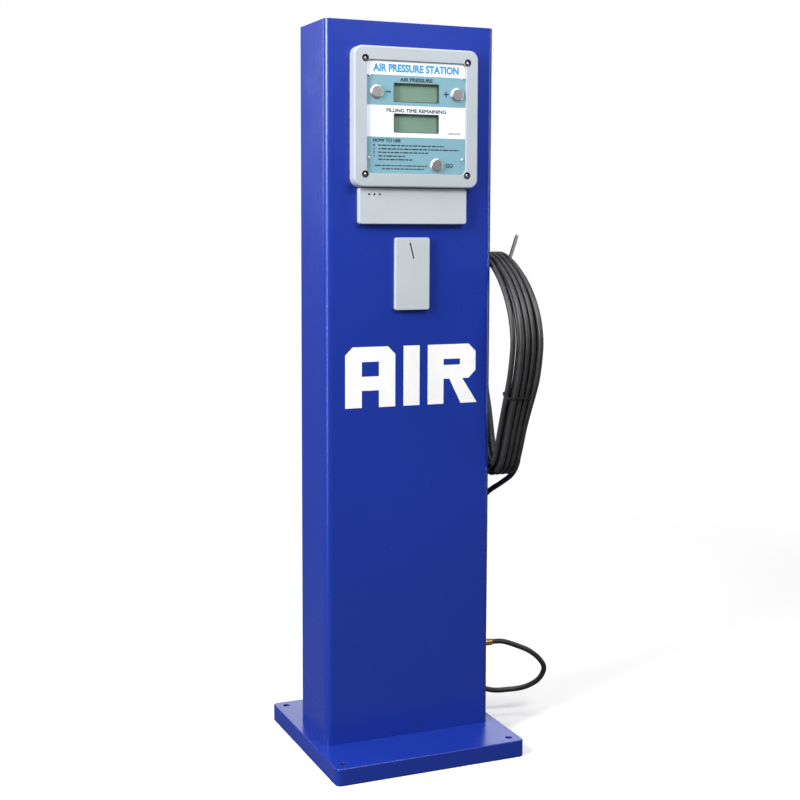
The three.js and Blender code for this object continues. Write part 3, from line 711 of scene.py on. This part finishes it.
def make_hinge(end):
    """The two leaves and the pin of one hinge, with screw heads on the leaves."""
    px, py, _ = centre(f"hinge_pin_{end}")
    (fx0, fy0, fz0), (_, _, fz1) = extent(f"hinge_frame_leaf_{end}")
    _, (dx1, _, _) = extent(f"hinge_door_leaf_{end}")
    r, knuckle = HINGE["r"], (fz1 - fz0) / 3
    mid = (fz0 + fz1) / 2
    side = r + HINGE["gap"]
    y_back = fy0 + HINGE["sheet"]

    def knuckle_at(z):
        low, high = z - knuckle / 2, z + knuckle / 2
        return lathe([(r - 0.3, low + 0.2), (r, low + 0.5), (r, high - 0.5), (r - 0.3, high - 0.2)],
                     (px, py, 0), sides=40)

    def web(xa, xb, z):
        return block((xa, fy0, z - knuckle / 2 + 0.2), (xb, y_back, z + knuckle / 2 - 0.2))

    def leaf(name, xa, xb, web_a, web_b, heights, body):
        screws = [lathe([(3, -0.1), (3, 0.4), (2.4, 0.9), (0.4, 1.1)], ((xa + xb) / 2, y_back, z), "y", 24)
                  for z in (fz0 + HINGE["screw_in"], fz1 - HINGE["screw_in"])]
        whole = fuse(block((xa, fy0, fz0), (xb, y_back, fz1), 0.3), *[web(web_a, web_b, z) for z in heights],
                     *[knuckle_at(z) for z in heights], *screws)
        bore = pin(HINGE["bore"], fz0 - 5, fz1 + 5, (px, py, 0))
        place(f"{name}_fine_{end}", cut(whole, bore), "bright_steel", body=body,
              replaces=f"{name}_{end}")

    leaf("hinge_frame_leaf", fx0, px - side, px - side - 1, px, (mid - knuckle, mid + knuckle), ROOT)
    leaf("hinge_door_leaf", px + side, dx1, px, px + side + 1, (mid,), "door")
    (_, _, pz0), (_, _, pz1) = extent(f"hinge_pin_{end}")
    profile = [(1.7, pz0), (2, pz0 + 0.4), (2, pz1 - 2), (4, pz1 - 2), (4, pz1 - 0.6), (3.2, pz1)]
    place(f"hinge_pin_fine_{end}", lathe(profile, (px, py, 0), sides=32), "bright_steel",
          replaces=f"hinge_pin_{end}")


# ---- control head
BEZEL_SCREW = {"x": 96.5, "up": 98, "down": -98, "recess_r": 6.2, "recess": 4, "head_r": 3.6, "shank_r": 2,
               "hole_r": 2.6, "rise": 2.4, "turn": 0.5}
FASCIA_SCREW = {"x": 88.5, "up": 70.5, "down": -70, "head_r": 2.6, "shank_r": 1.2, "hole_r": 1.5,
                "rise": 1.5, "turn": 0.7}
BEZEL_BORE = (171, 175)
WINDOW = {"w": 86, "h": 33, "corner": 2}
DISPLAYS = ("lcd_pressure", "lcd_time")
BUTTONS = ("minus", "plus", "fill")


def screw_places(sizes):
    """Where the four screws of a kind are, from the upper left clockwise."""
    hx, _, hz = centre("control_bezel")
    x, up, down = sizes["x"], sizes["up"], sizes["down"]
    return [(hx + sx * x, hz + z) for sx, z in ((-1, up), (1, up), (1, down), (-1, down))]


def make_bezel():
    w, h, at, face, back = plate_of("control_bezel")
    fw, fh, _, _, fascia_rear = plate_of("fascia_plate")
    fw, fh = fw + 0.6, fh + 0.6
    outer = [(0, back)] + [(i, face + fall) for i, fall in rounding(3, 7)]
    loops = [facing(rounded_rect(w - 2 * i, h - 2 * i, 16 - i, at, 12), y) for i, y in outer]
    inner = [(-fall, face + i) for i, fall in rounding(0.8, 4)] + [(0, fascia_rear + 0.3)]
    loops += [facing(rounded_rect(fw - 2 * i, fh - 2 * i, 8.8 - i, at, 12), y) for i, y in inner]
    loops += [facing(rounded_rect(*BEZEL_BORE, 3, at, 12), y) for y in (fascia_rear + 0.3, back)]
    tools = []
    r, deep = BEZEL_SCREW["recess_r"], BEZEL_SCREW["recess"]
    for x, z in screw_places(BEZEL_SCREW):
        tools.append(lathe([(r + 0.9, -0.4), (r, 0.5), (r, deep)], (x, face, z), "y", 40))
        tools.append(pin(BEZEL_SCREW["shank_r"] + 0.3, -1, 40, (x, face, z), "y", 20))
    for x, z in screw_places(FASCIA_SCREW):
        tools.append(pin(FASCIA_SCREW["shank_r"] + 0.3, 1, 15, (x, face, z), "y", 16))
    for name in BUTTONS:
        x, _, z = centre(f"button_cap_{name}")
        tools.append(pin(10.5, fascia_rear - 1, fascia_rear + 6, (x, 0, z), "y", 40))
    place("bezel_moulding", cut(loft(loops, ring=True), *tools), "grey_plastic",
          replaces="control_bezel")


def make_fascia():
    w, h, at, front, rear = plate_of("fascia_plate")
    plate = slab(w, h, 8.5, at, rear, front, 0.3, 10)
    tools = []
    for name in DISPLAYS:
        x, _, z = centre(name)
        tools.append(slab(WINDOW["w"], WINDOW["h"], WINDOW["corner"], (x, z), rear + 2, front - 2, 0.01))
    for name in BUTTONS:
        x, _, z = centre(f"button_cap_{name}")
        tools.append(pin(9.9, front - 2, rear + 2, (x, 0, z), "y", 48))
    for x, z in screw_places(FASCIA_SCREW):
        tools.append(pin(FASCIA_SCREW["hole_r"], front - 2, rear + 2, (x, 0, z), "y", 16))
    place("fascia_overlay", cut(plate, *tools), "fascia_print", replaces="fascia_plate")

    for name in DISPLAYS:
        make_display(name, front)


def make_display(name, fascia_front):
    """A display sunk in a dark surround that stands in the fascia's window. The surround's dark colour is
    partly painted shade: it darkens the window's recess walls round the glass.
    """
    wide, high, at, y0, y1 = plate_of(name)
    w, h, rim, deep = WINDOW["w"] - 0.6, WINDOW["h"] - 0.6, 0.9, 4.0
    flange = slab(wide, high, 1, at, y1, y0, 0.2)
    collar = slab(w, h, 1.8, at, y0 + 1, fascia_front + 0.2, 0.2)
    pocket = slab(w - 2 * rim, h - 2 * rim, 1.2, at, y0 + deep, fascia_front - 2, 0.01)
    place(f"{name}_surround", cut(fuse(flange, collar), pocket), "black_plastic", DISPLAY_RIM_AND_SHADE,
          replaces=name)
    glass = slab(w - 2 * rim - 0.2, h - 2 * rim - 0.2, 1, at, y0 + deep - 0.05, y0 + deep - 0.8, 0.3)
    place(f"{name}_glass", glass, "lcd")


def cross_screw(head_r, shank_r, rise, length):
    """A pan-head screw with a cross recess, pointing along +Y from under its head."""
    dome = [(0.3, -rise), (head_r * 0.45, -rise * 0.97), (head_r * 0.8, -rise * 0.72),
            (head_r * 0.97, -rise * 0.3), (head_r, -0.1), (head_r - 0.1, 0)]
    head = lathe(dome + [(shank_r, 0), (shank_r, length)], axis="y", sides=36)
    reach, half = head_r * 0.52, head_r * 0.13
    arms = [block((-reach, -rise - 1, -half), (reach, -rise * 0.35, half)),
            block((-half, -rise - 1, -reach), (half, -rise * 0.35, reach))]
    return cut(head, *arms)


def place_screw(kind, i, x, z, sizes):
    """Puts one screw where its CAD node is, turned differently from its neighbours, and gives its face."""
    (_, y0, _), (_, y1, _) = extent(f"{kind}_screw_{i}")
    mesh = cross_screw(sizes["head_r"], sizes["shank_r"], sizes["rise"], y1 - y0 - sizes["rise"])
    turned_about(mesh, sizes["turn"] * i, "Y", (0, 0, 0))
    place(f"{kind}_screw_fine_{i}", mesh, "bright_steel", BUTTON_STEEL, replaces=f"{kind}_screw_{i}",
          at=(x, y0 + sizes["rise"], z))
    return y0


def make_screws():
    # Black cups that line the bezel's screw recesses: painted shade that darkens each recess round its screw
    # head.
    outer, inner = BEZEL_SCREW["recess_r"] - 0.15, BEZEL_SCREW["head_r"] + 0.25
    shade_cup = [(inner, 2.3), (outer, 2.3), (outer, -1.3), (outer - 0.8, -1.3), (outer - 1, 1.3), (inner, 1.6),
           (inner, 2.3)]
    for i, (x, z) in enumerate(screw_places(BEZEL_SCREW), 1):
        y0 = place_screw("bezel", i, x, z, BEZEL_SCREW)
        place(f"bezel_screw_cup_{i}", lathe(shade_cup, axis="y", sides=40), "black_plastic",
              at=(x, y0 + 0.1, z))
    for i, (x, z) in enumerate(screw_places(FASCIA_SCREW), 1):
        place_screw("fascia", i, x, z, FASCIA_SCREW)


def make_buttons():
    for name in BUTTONS:
        w, _, (x, z), front, rear = plate_of(f"button_body_{name}")
        r = w / 2
        depth = rear - front
        ring = lathe([(9.5, depth), (9.5, 0.5), (9.9, 0.05), (10.4, 0), (r - 0.9, 0.25), (r - 0.25, 0.85),
                      (r, 1.6), (r, 2.2), (9.7, 2.2), (9.7, depth)], axis="y", sides=72)
        bore = pin(9.5, -2, depth + 2, axis="y", sides=72)
        place(f"button_{name}_ring", cut(ring, bore), "bright_steel", BUTTON_STEEL,
              replaces=f"button_body_{name}", at=(x, front, z))
        w, _, _, front, rear = plate_of(f"button_cap_{name}")
        r = w / 2
        dish = [(0.3, 0.25), (3, 0.2), (6, 0.05), (7.6, 0), (8.5, 0.2), (9, 0.6)]
        cap = lathe(dish + [(r, 1.2), (r, rear - front)], axis="y", sides=72)
        place(f"button_{name}_cap", cap, "bright_steel", BUTTON_STEEL, body=f"{name}_button",
              replaces=f"button_cap_{name}", at=(x, front, z))


# ---- cover and coin plate
SOUND_HOLES = {"x": (-84, -74, -64), "z": 1004, "r": 2}
SLOT = {"x": -1, "z": 906, "len": 29, "w": 3, "lean": 0.26}


def make_cover():
    w, h, at, front, rear = plate_of("lower_cover")
    hood = slab(w, h, 5, at, rear, front, 1.5)
    hollow = slab(w - 4, h - 4, 3, at, rear + 1, front + 2, 0.01)
    r = SOUND_HOLES["r"]
    holes = [lathe([(r + 0.5, -0.3), (r, 0.3), (r, 4)], (x, front, SOUND_HOLES["z"]), "y", 28)
             for x in SOUND_HOLES["x"]]
    place("cover_hood", cut(hood, hollow, *holes), "grey_paint", replaces="lower_cover")


def make_slot_plate():
    wide, high, at, front, rear = plate_of("coin_slot_plate")
    plate = slab(wide, high, 4, at, rear, front, 1.2)
    here = (SLOT["x"], SLOT["z"])
    w, h = SLOT["w"], SLOT["len"]
    steps = [(2.4, front - 0.5), (1.4, front), (0, front + 0.7), (0, rear + 3)]
    slot = loft([facing(rounded_rect(w + more, h + more, 1.2, here), y) for more, y in steps])
    turned_about(slot, -SLOT["lean"], "Y", (SLOT["x"], 0, SLOT["z"]))
    place("slot_plate", cut(plate, slot), "grey_paint", replaces="coin_slot_plate")


# ---- lettering
def outline_slab(shapes, y, thick=0.3):
    """Flat closed shapes in (X, Z), each a list of outlines of which the later ones are holes."""
    curve = bpy.data.curves.new("outline", "CURVE")
    curve.dimensions = "2D"
    curve.fill_mode = "BOTH"
    curve.extrude = thick / 2
    for points in shapes:
        polyline(curve, [(x, z, 0) for x, z in points]).use_cyclic_u = True
    return stood_up(curve, y - thick / 2)


def stood_up(curve, y):
    """Turns a flat curve or text drawn in (X, Y) to face -Y at some depth, as a mesh."""
    helper = added("helper", curve)
    mesh = evaluated(helper)
    bpy.data.objects.remove(helper)
    mesh.transform(Matrix.Translation((0, y, 0)) @ Matrix.Rotation(math.pi / 2, 4, "X"))
    return tidy(mesh)


def block_letters(x0, x1, z0, z1, stroke):
    """The word AIR in plain block capitals with chamfered corners."""
    gap, h = 16, z1 - z0
    unit = (x1 - x0 - stroke) / 2 - gap
    a0, i0, r0 = x0, x0 + unit + gap, x0 + unit + 2 * gap + stroke
    a1, r1 = a0 + unit, r0 + unit
    c = stroke * 0.45
    bar, mid = z0 + 0.28 * h, z0 + 0.42 * h

    def eye(left, right, low):
        top = z1 - stroke * 0.85
        return [(left + stroke, low), (right - stroke, low), (right - stroke, top), (left + stroke, top)]

    letter_a = [(a0, z0), (a0, z1 - c), (a0 + c, z1), (a1 - c, z1), (a1, z1 - c), (a1, z0), (a1 - stroke, z0),
                (a1 - stroke, bar), (a0 + stroke, bar), (a0 + stroke, z0)]
    letter_i = [(i0, z0), (i0 + stroke, z0), (i0 + stroke, z1), (i0, z1)]
    letter_r = [(r0, z0), (r0 + stroke, z0), (r0 + stroke, mid), (r0 + 0.45 * unit, mid),
                (r1 - 0.95 * stroke, z0), (r1 + 0.1 * stroke, z0), (r0 + 0.72 * unit, mid), (r1 - c, mid),
                (r1, mid + c), (r1, z1 - c), (r1 - c, z1), (r0, z1)]
    return [letter_a, eye(a0, a1, bar + stroke * 0.8), letter_i, letter_r, eye(r0, r1, mid + stroke * 0.8)]


INK_THICKNESS = 0.08
INK_LIFT = 0.05
DASH_LENGTHS = (5.2, 8.4, 3.6, 11.0, 6.3, 7.4, 4.4)
DASH_GAP = 1.7


def words(name, text, x0, x1, z0, z1, y, ink, weight=0.0):
    """A line of text fitted into a box on the fascia, its strokes thickened by weight."""
    curve = bpy.data.curves.new(name, "FONT")
    curve.body = text
    curve.size = 10
    curve.extrude = INK_THICKNESS / 2
    curve.bevel_depth = weight
    curve.bevel_resolution = 0
    curve.resolution_u = 3
    mesh = stood_up(curve, 0)
    xs = [v.co.x for v in mesh.vertices]
    zs = [v.co.z for v in mesh.vertices]
    sx = (x1 - x0) / (max(xs) - min(xs))
    sz = (z1 - z0) / (max(zs) - min(zs))
    for v in mesh.vertices:
        v.co.x = x0 + (v.co.x - min(xs)) * sx
        v.co.z = z0 + (v.co.z - min(zs)) * sz
        v.co.y = y - INK_LIFT + v.co.y * INK_THICKNESS / (INK_THICKNESS + 2 * weight)
    place(name, mesh, "fascia_print", ink)


def dashes(name, rows, y, ink):
    """Lines of plain dashes that stand for small print: (left, right, height, middle, first dash)."""
    work = bmesh.new()
    for left, right, height, z, seed in rows:
        x, i = left, seed
        while x < right - 1:
            word = min(DASH_LENGTHS[i % len(DASH_LENGTHS)], right - x)
            work.from_mesh(block((x, y - 0.1, z - height / 2), (x + word, y, z + height / 2)))
            x += word + DASH_GAP
            i += 1
    out = bpy.data.meshes.new(name)
    work.to_mesh(out)
    work.free()
    place(name, out, "fascia_print", ink)


TEXT_LINES = [
    ("title_text", "AIR PRESSURE STATION", -80, 82, 1212.6, 1226.4, BLUE_INK, 0.5),
    ("pressure_text", "AIR PRESSURE", -30, 32, 1197.2, 1203.8, DARK_INK, 0.45),
    ("time_text", "FILLING TIME REMAINING", -55, 58, 1144.6, 1151.2, DARK_INK, 0.4),
    ("minutes_text", "MINUTES", 63, 86, 1108.6, 1112.4, DARK_INK, 0.2),
    ("steps_text", "HOW TO USE", -80, -28, 1093.4, 1099.6, DARK_INK, 0.5),
    ("start_text", "GO", 58, 72, 1051.4, 1058.8, DARK_INK, 0.4),
]
STEP_HEIGHTS = (1088, 1082, 1076, 1069.7)
SMALL_PRINT = [
    (-70, 55, 2.2, 1088, 0), (-70, 83, 2.2, 1082, 2), (-70, 24, 2.2, 1076, 4), (-70, -18, 2.2, 1069.7, 1),
    (-70, -6, 2.2, 1063.8, 5), (-76, 22, 1.9, 1053.4, 3), (-63, 18, 1.9, 1048, 0),
]


def make_lettering():
    (_, front, _), _ = extent("column_shell")
    letters = outline_slab(block_letters(-124, 128, 632, 739, 31), front)
    place("air_lettering", letters, "grey_paint", VINYL)
    (_, y, _), _ = extent("fascia_plate")
    for name, text, x0, x1, z0, z1, ink, weight in TEXT_LINES:
        words(name, text, x0, x1, z0, z1, y, ink, weight)
    place("minus_sign", block((-56, y - 0.1, 1178), (-46.5, y, 1180.4)), "fascia_print", DARK_INK)
    cross = fuse(block((53, y - 0.1, 1177.4), (62.6, y, 1179.6)),
                 block((56.7, y - 0.1, 1173.7), (58.9, y, 1183.3)))
    place("plus_sign", cross, "fascia_print", DARK_INK)
    dashes("small_print", SMALL_PRINT, y, DARK_INK)
    for i, z in enumerate(STEP_HEIGHTS, 1):
        words(f"step_{i}", str(i), -79, -76.4, z - 2.1, z + 2.1, y, DARK_INK, 0.35)


# ---- the hose
HOSE_RADIUS = 5
STRANDS = 9
INNER_STRANDS = 5  # the first turns lie on the hook, the others on top of them
PITCH = 10.6
OUTER_X = 209.9
LIFT = 10.4
TURN = [
    (3, 888), (-57, 870), (-111, 826), (-139, 757), (-131, 690), (-107, 620), (-86, 560), (-74, 528),
    (-57.5, 510.5), (-36, 504), (-14.5, 510.5), (1.5, 528), (12, 560), (28, 625), (56, 695), (84, 760),
    (86, 822), (54, 870),
]
TURN_BOTTOM = 9  # the lowest of those points, where a turn is taken to begin
RUN = [
    (186.3, -30, 168), (195, -30, 167.8), (210, -28, 165.5), (230, -25, 158), (252, -22, 148),
    (273, -17, 137), (302, -8, 114), (317, 0, 91), (310, 8, 68), (286, 19, 52), (254, 30, 47),
    (222, 37, 48), (196, 41, 59), (180, 42, 84), (175, 42, 125), (174, 41, 200), (174, 40, 290),
    (175, 37, 370), (181, 27, 418), (195, 9, 447), (212, -16, 469), (221, -38, 487), (220.5, -61, 512),
    (215, -77, 543),
]
FREE_END = [(212, 53, 645), (212, 47, 612), (212, 44, 578)]
TURN_STEPS = 28
FIRST_STEP = 3  # where the run joins the first turn
LAST_STEP = 21  # where the free end leaves the last turn


def turn_loop():
    """One turn as (Y, Z, outward Y, outward Z), from the bottom up the front and down the back."""
    order = TURN[TURN_BOTTOM::-1] + TURN[:TURN_BOTTOM:-1]
    dense = spline([(y, z, 0) for y, z in order], closed=True, per_segment=20)
    even = resample(dense + dense[:1], length_of(dense + dense[:1]) / TURN_STEPS)[:-1]
    out = []
    for i, p in enumerate(even):
        along = (even[(i + 1) % TURN_STEPS] - even[i - 1]).normalized()
        out.append((p.x, p.y, -along.y, along.x))
    return out


def coil_points():
    """The nine turns: five side by side on the hook, moving in to the wall, then four back out on top."""
    loop = turn_loop()
    wall_x = OUTER_X - PITCH * (INNER_STRANDS - 1)
    points = []
    for strand in range(STRANDS):
        first = FIRST_STEP if strand == 0 else 0
        last = LAST_STEP if strand == STRANDS - 1 else TURN_STEPS - 1
        for step in range(first, last + 1):
            y, z, out_y, out_z = loop[step]
            v = step / TURN_STEPS
            moved = ease(v, 0.56, 0.95)
            if strand < INNER_STRANDS - 1:
                x = OUTER_X - PITCH * (strand + moved)
                away = 0.0
            elif strand == INNER_STRANDS - 1:
                x = wall_x + PITCH * moved
                away = LIFT * ease(v, 0.36, 0.5)
            else:
                x = wall_x + PITCH * (strand - INNER_STRANDS + 1 + moved)
                away = LIFT
            belly = math.sin(math.pi * min(max((v - 0.08) / 0.36, 0), 1)) ** 2
            x += belly * 0.12 * (x - wall_x)
            if strand == STRANDS - 1:
                away += 7 * belly
                x = min(x, 214)
            points.append(Vector((x, y + away * out_y, z + away * out_z)))
    return points


def make_hose():
    route = [Vector(p) for p in RUN] + coil_points() + [Vector(p) for p in FREE_END]
    points = resample(spline(route, per_segment=10), 6)
    return hose_curve("air_hose", points)


WALL_X = 160  # the column's right-hand face
HOOK = {"y": -5, "z": 877.2, "r": 3.5, "bend": 225, "tip_x": 244, "tip_z": 931}
OUTLET = (186, -30, 168)


def make_hook():
    y, z, r, bend = HOOK["y"], HOOK["z"], HOOK["r"], HOOK["bend"]
    straight = [Vector((x, y, z)) for x in (146, 170, 200, bend - 10)]
    curl = [Vector((bend + x, y, z + rise)) for x, rise in ((-3, 0.8), (1.6, 4.6), (4.2, 10.5))]
    tip = Vector((HOOK["tip_x"], y, HOOK["tip_z"]))
    leg = [curl[-1].lerp(tip, k) for k in (0.3, 0.65, 1)]
    path = resample(spline(straight + curl + leg, per_segment=10), 2)
    end = (path[-1] - path[-2]).normalized()
    loops = []
    side = Vector((0, 1, 0))
    sizes = [(p, r) for p in path]
    sizes += [(path[-1] + end * r * math.sin(a), r * math.cos(a)) for a in (0.5, 0.95, 1.35)]
    for i, (p, size) in enumerate(sizes):
        along = end if i >= len(path) - 1 else (path[i + 1] - path[max(i - 1, 0)]).normalized()
        across = along.cross(side).normalized()
        loops.append([p + size * (math.cos(a) * side + math.sin(a) * across)
                      for a in (math.tau * k / 24 for k in range(24))])
    collar = lathe([(7, 0.3), (8, 0.6), (8, 1.5), (7.2, 2), (3.4, 2)], (WALL_X, y, z), "x", 48)
    place("hook_rod", fuse(loft(loops), collar), "bright_steel", ROD_ZINC, replaces="hose_hook")


def make_tie():
    """A cable tie pulled square round the front of the coil, with its locking head and cut tail."""
    cx, cy, cz = centre("hose_tie")
    lean = math.atan2(26, 72)
    w, d = INNER_STRANDS * PITCH + 1.4, 2 * LIFT + 1.8
    loops = []
    for half, grow in ((-2, 0), (2, 0), (2, 1.2), (-2, 1.2)):
        outline = rounded_rect(w + 2 * grow, d + 2 * grow, 5.2 + grow)
        loops.append([Vector((cx + x, cy + y, cz + half)) for x, y in outline])
    band = loft(loops, ring=True)
    left, near = cx - w / 2, cy - d / 2
    head = block((left + 8, near - 5, cz - 3), (left + 14, near - 0.6, cz + 3), 0.8)
    tail = block((left + 3.5, near - 4.2, cz - 1.9), (left + 9, near - 2.9, cz + 1.9), 0.3)
    tie = fuse(band, head, tail)
    turned_about(tie, lean, "X", (cx, cy, cz))
    return place("cable_tie", tie, "black_plastic", replaces="hose_tie")


def grooves(r, floor, starts, slope, width):
    """Profile points of grooves that start at these distances along a turned piece."""
    return [p for s in starts
            for p in ((r, s), (floor, s + slope), (floor, s + width), (r, s + width + slope))]


def make_chuck():
    (x0, _, _), (x1, _, z1) = extent("chuck_body")
    x, y = (x0 + x1) / 2, FREE_END[-1][1]
    shell = lathe([(5.2, -0.1), (6.6, -1), *grooves(6.6, 6.1, (-6, -13), -0.6, -2), (6.6, -25), (8, -30),
                   (8, -61), (7.4, -62.4), (6.4, -66), (6.4, -79), (5.8, -81), (4, -83.9)], (x, y, z1),
                  sides=56)
    mouth = pin(2.6, -90, -72, (x, y, z1), "z", 32)
    ears = block((x - 6, y + 3, z1 - 52), (x + 6, y + 13, z1 - 42), 1.2)
    gap = block((x - 3, y + 6.5, z1 - 60), (x + 3, y + 20, z1 - 30))
    body = place("chuck_shell", cut(fuse(shell, ears), gap, mouth), "brass",
                 replaces="chuck_body")
    points = [(0, -4), (3, -4), (6, 8), (9, 30), (7.4, 31), (4.6, 14), (2, 10), (0, 4)]
    (lx0, _, _), (lx1, _, _) = extent("chuck_lever")
    loops = [[Vector((px, y + 9.5 + a, z1 - 47 + b)) for a, b in points] for px in (lx0, lx1)]
    arm = soften(loft(loops), 0.35)
    hinge = pin(1.6, x - 5.8, x + 5.8, (0, y + 9.5, z1 - 47), "x", 24)
    lever = place("chuck_clip_arm", fuse(arm, hinge), "bright_steel", body="chuck_clip",
                  replaces="chuck_lever")
    return [body, lever]


def hexagon(across, a, b, at, axis="x"):
    """A hexagon bar with its corners chamfered."""
    r = across / math.sqrt(3)
    barrel = [(r - 1.1, a - 0.1), (r + 0.1, a + 1), (r + 0.1, b - 1), (r - 1.1, b + 0.1)]
    shaving = cut(pin(r + 2, a - 1, b + 1, at, axis, 48), lathe(barrel, at, axis, 48))
    return cut(lathe([(r, a), (r, b)], at, axis, 6), shaving)


def make_outlet():
    end, y, z = OUTLET
    at = (0, y, z)
    through = lathe([(6, 143), (6.3, 158), (6.3, 166), (5.4, 167), (5.4, 170.5), (6.3, 171.3), (6.6, 172),
                     *grooves(6.6, 6.2, (175, 180), 0.5, 2), (6.6, end - 0.7), (6, end)], at, "x", 56)
    outside = hexagon(18, 160.3, 167.5, at)
    inside = hexagon(18, 149, 157.7, at)
    riser = pin(6, z - 7, z + 18, (143, y, 0), "z", 40)
    place("outlet_ferrule", fuse(through, outside, inside, riser), "brass", replaces="outlet_fitting")


# ---- studio
FLOOR_SEEN = (0.95, 0.95, 0.95)
FLOOR_TINT = (0.1, 0.1, 0.1)
AMBIENT = 0.11
BACKDROP = 1.0
SOFTBOXES = [
    ("left_key", (-2.3, -0.8, 2.0), (0, 0, 0.9), (1.0, 1.6), 100),
    ("left_strip", (-2.4, -1.1, 1.0), (0, 0, 0.9), (0.25, 2.0), 22),
    ("right_strip", (2.4, -0.9, 1.1), (0, 0, 0.9), (0.3, 2.0), 16),
    ("front_fill", (0.5, -1.9, 2.5), (0, 0, 1.1), (1.5, 0.9), 52),
    ("overhead", (-0.2, 0.1, 3.0), (0, 0, 0), (2.2, 2.2), 40),
    ("rear_card", (1.5, 3.2, 1.5), (0, 0, 0.2), (2.6, 2.0), 30),
    ("rear_left", (-2.2, 2.6, 1.8), (0, 0, 0.8), (1.2, 1.6), 22),
]


def make_floor():
    """A disc that is lit by the lamps and shows a soft shadow, and fades out towards its rim."""
    size, fade_from, fade_to = 4.0, 0.9, 2.2
    count = 96
    verts = [(size * math.cos(math.tau * i / count), size * math.sin(math.tau * i / count), -0.0005)
             for i in range(count)]
    floor = bpy.data.meshes.new("floor")
    floor.from_pydata(verts, [], [tuple(range(count))])
    pale = Look("pale_floor", FLOOR_TINT, roughness=0.8, specular=0.1)
    path = pale.node("ShaderNodeLightPath").outputs["Is Camera Ray"]
    pale.tint(path, FLOOR_SEEN, 0, 1)
    x, y, _ = pale.split()
    pale.link(pale.spread(pale.radius(x, y), 1, 0, fade_from, fade_to), pale.shader.inputs["Alpha"])
    floor.materials.append(pale.material)
    added("floor", floor)


def make_world():
    """A white backdrop where the camera looks, and a dimmer room for light and reflections."""
    world = bpy.data.worlds.new("studio")
    world.use_nodes = True
    nodes, links = world.node_tree.nodes, world.node_tree.links
    back = nodes["Background"]
    back.inputs["Color"].default_value = (1, 1, 1, 1)
    path = nodes.new("ShaderNodeLightPath")
    strength = nodes.new("ShaderNodeMapRange")
    strength.inputs["To Min"].default_value = AMBIENT
    strength.inputs["To Max"].default_value = BACKDROP
    links.new(path.outputs["Is Camera Ray"], strength.inputs["Value"])
    links.new(strength.outputs["Result"], back.inputs["Strength"])
    bpy.context.scene.world = world
    bpy.context.scene.view_settings.view_transform = "Standard"


def make_lights():
    for name, at, target, size, power in SOFTBOXES:
        data = bpy.data.lights.new(name, "AREA")
        data.shape = "RECTANGLE"
        data.size, data.size_y = size
        data.energy = power
        lamp = added(name, data)
        lamp.visible_camera = False
        lamp.location = at
        lamp.rotation_euler = (Vector(target) - Vector(at)).to_track_quat("-Z", "Y").to_euler()


make_camera()
dress_frame()
hose = make_hose()
tie = make_tie()
chuck = make_chuck()
make_base()
make_column()
make_door()
make_bezel()
make_fascia()
make_screws()
make_buttons()
make_cover()
make_slot_plate()
make_lettering()
make_hook()
make_outlet()
make_floor()
make_world()
make_lights()
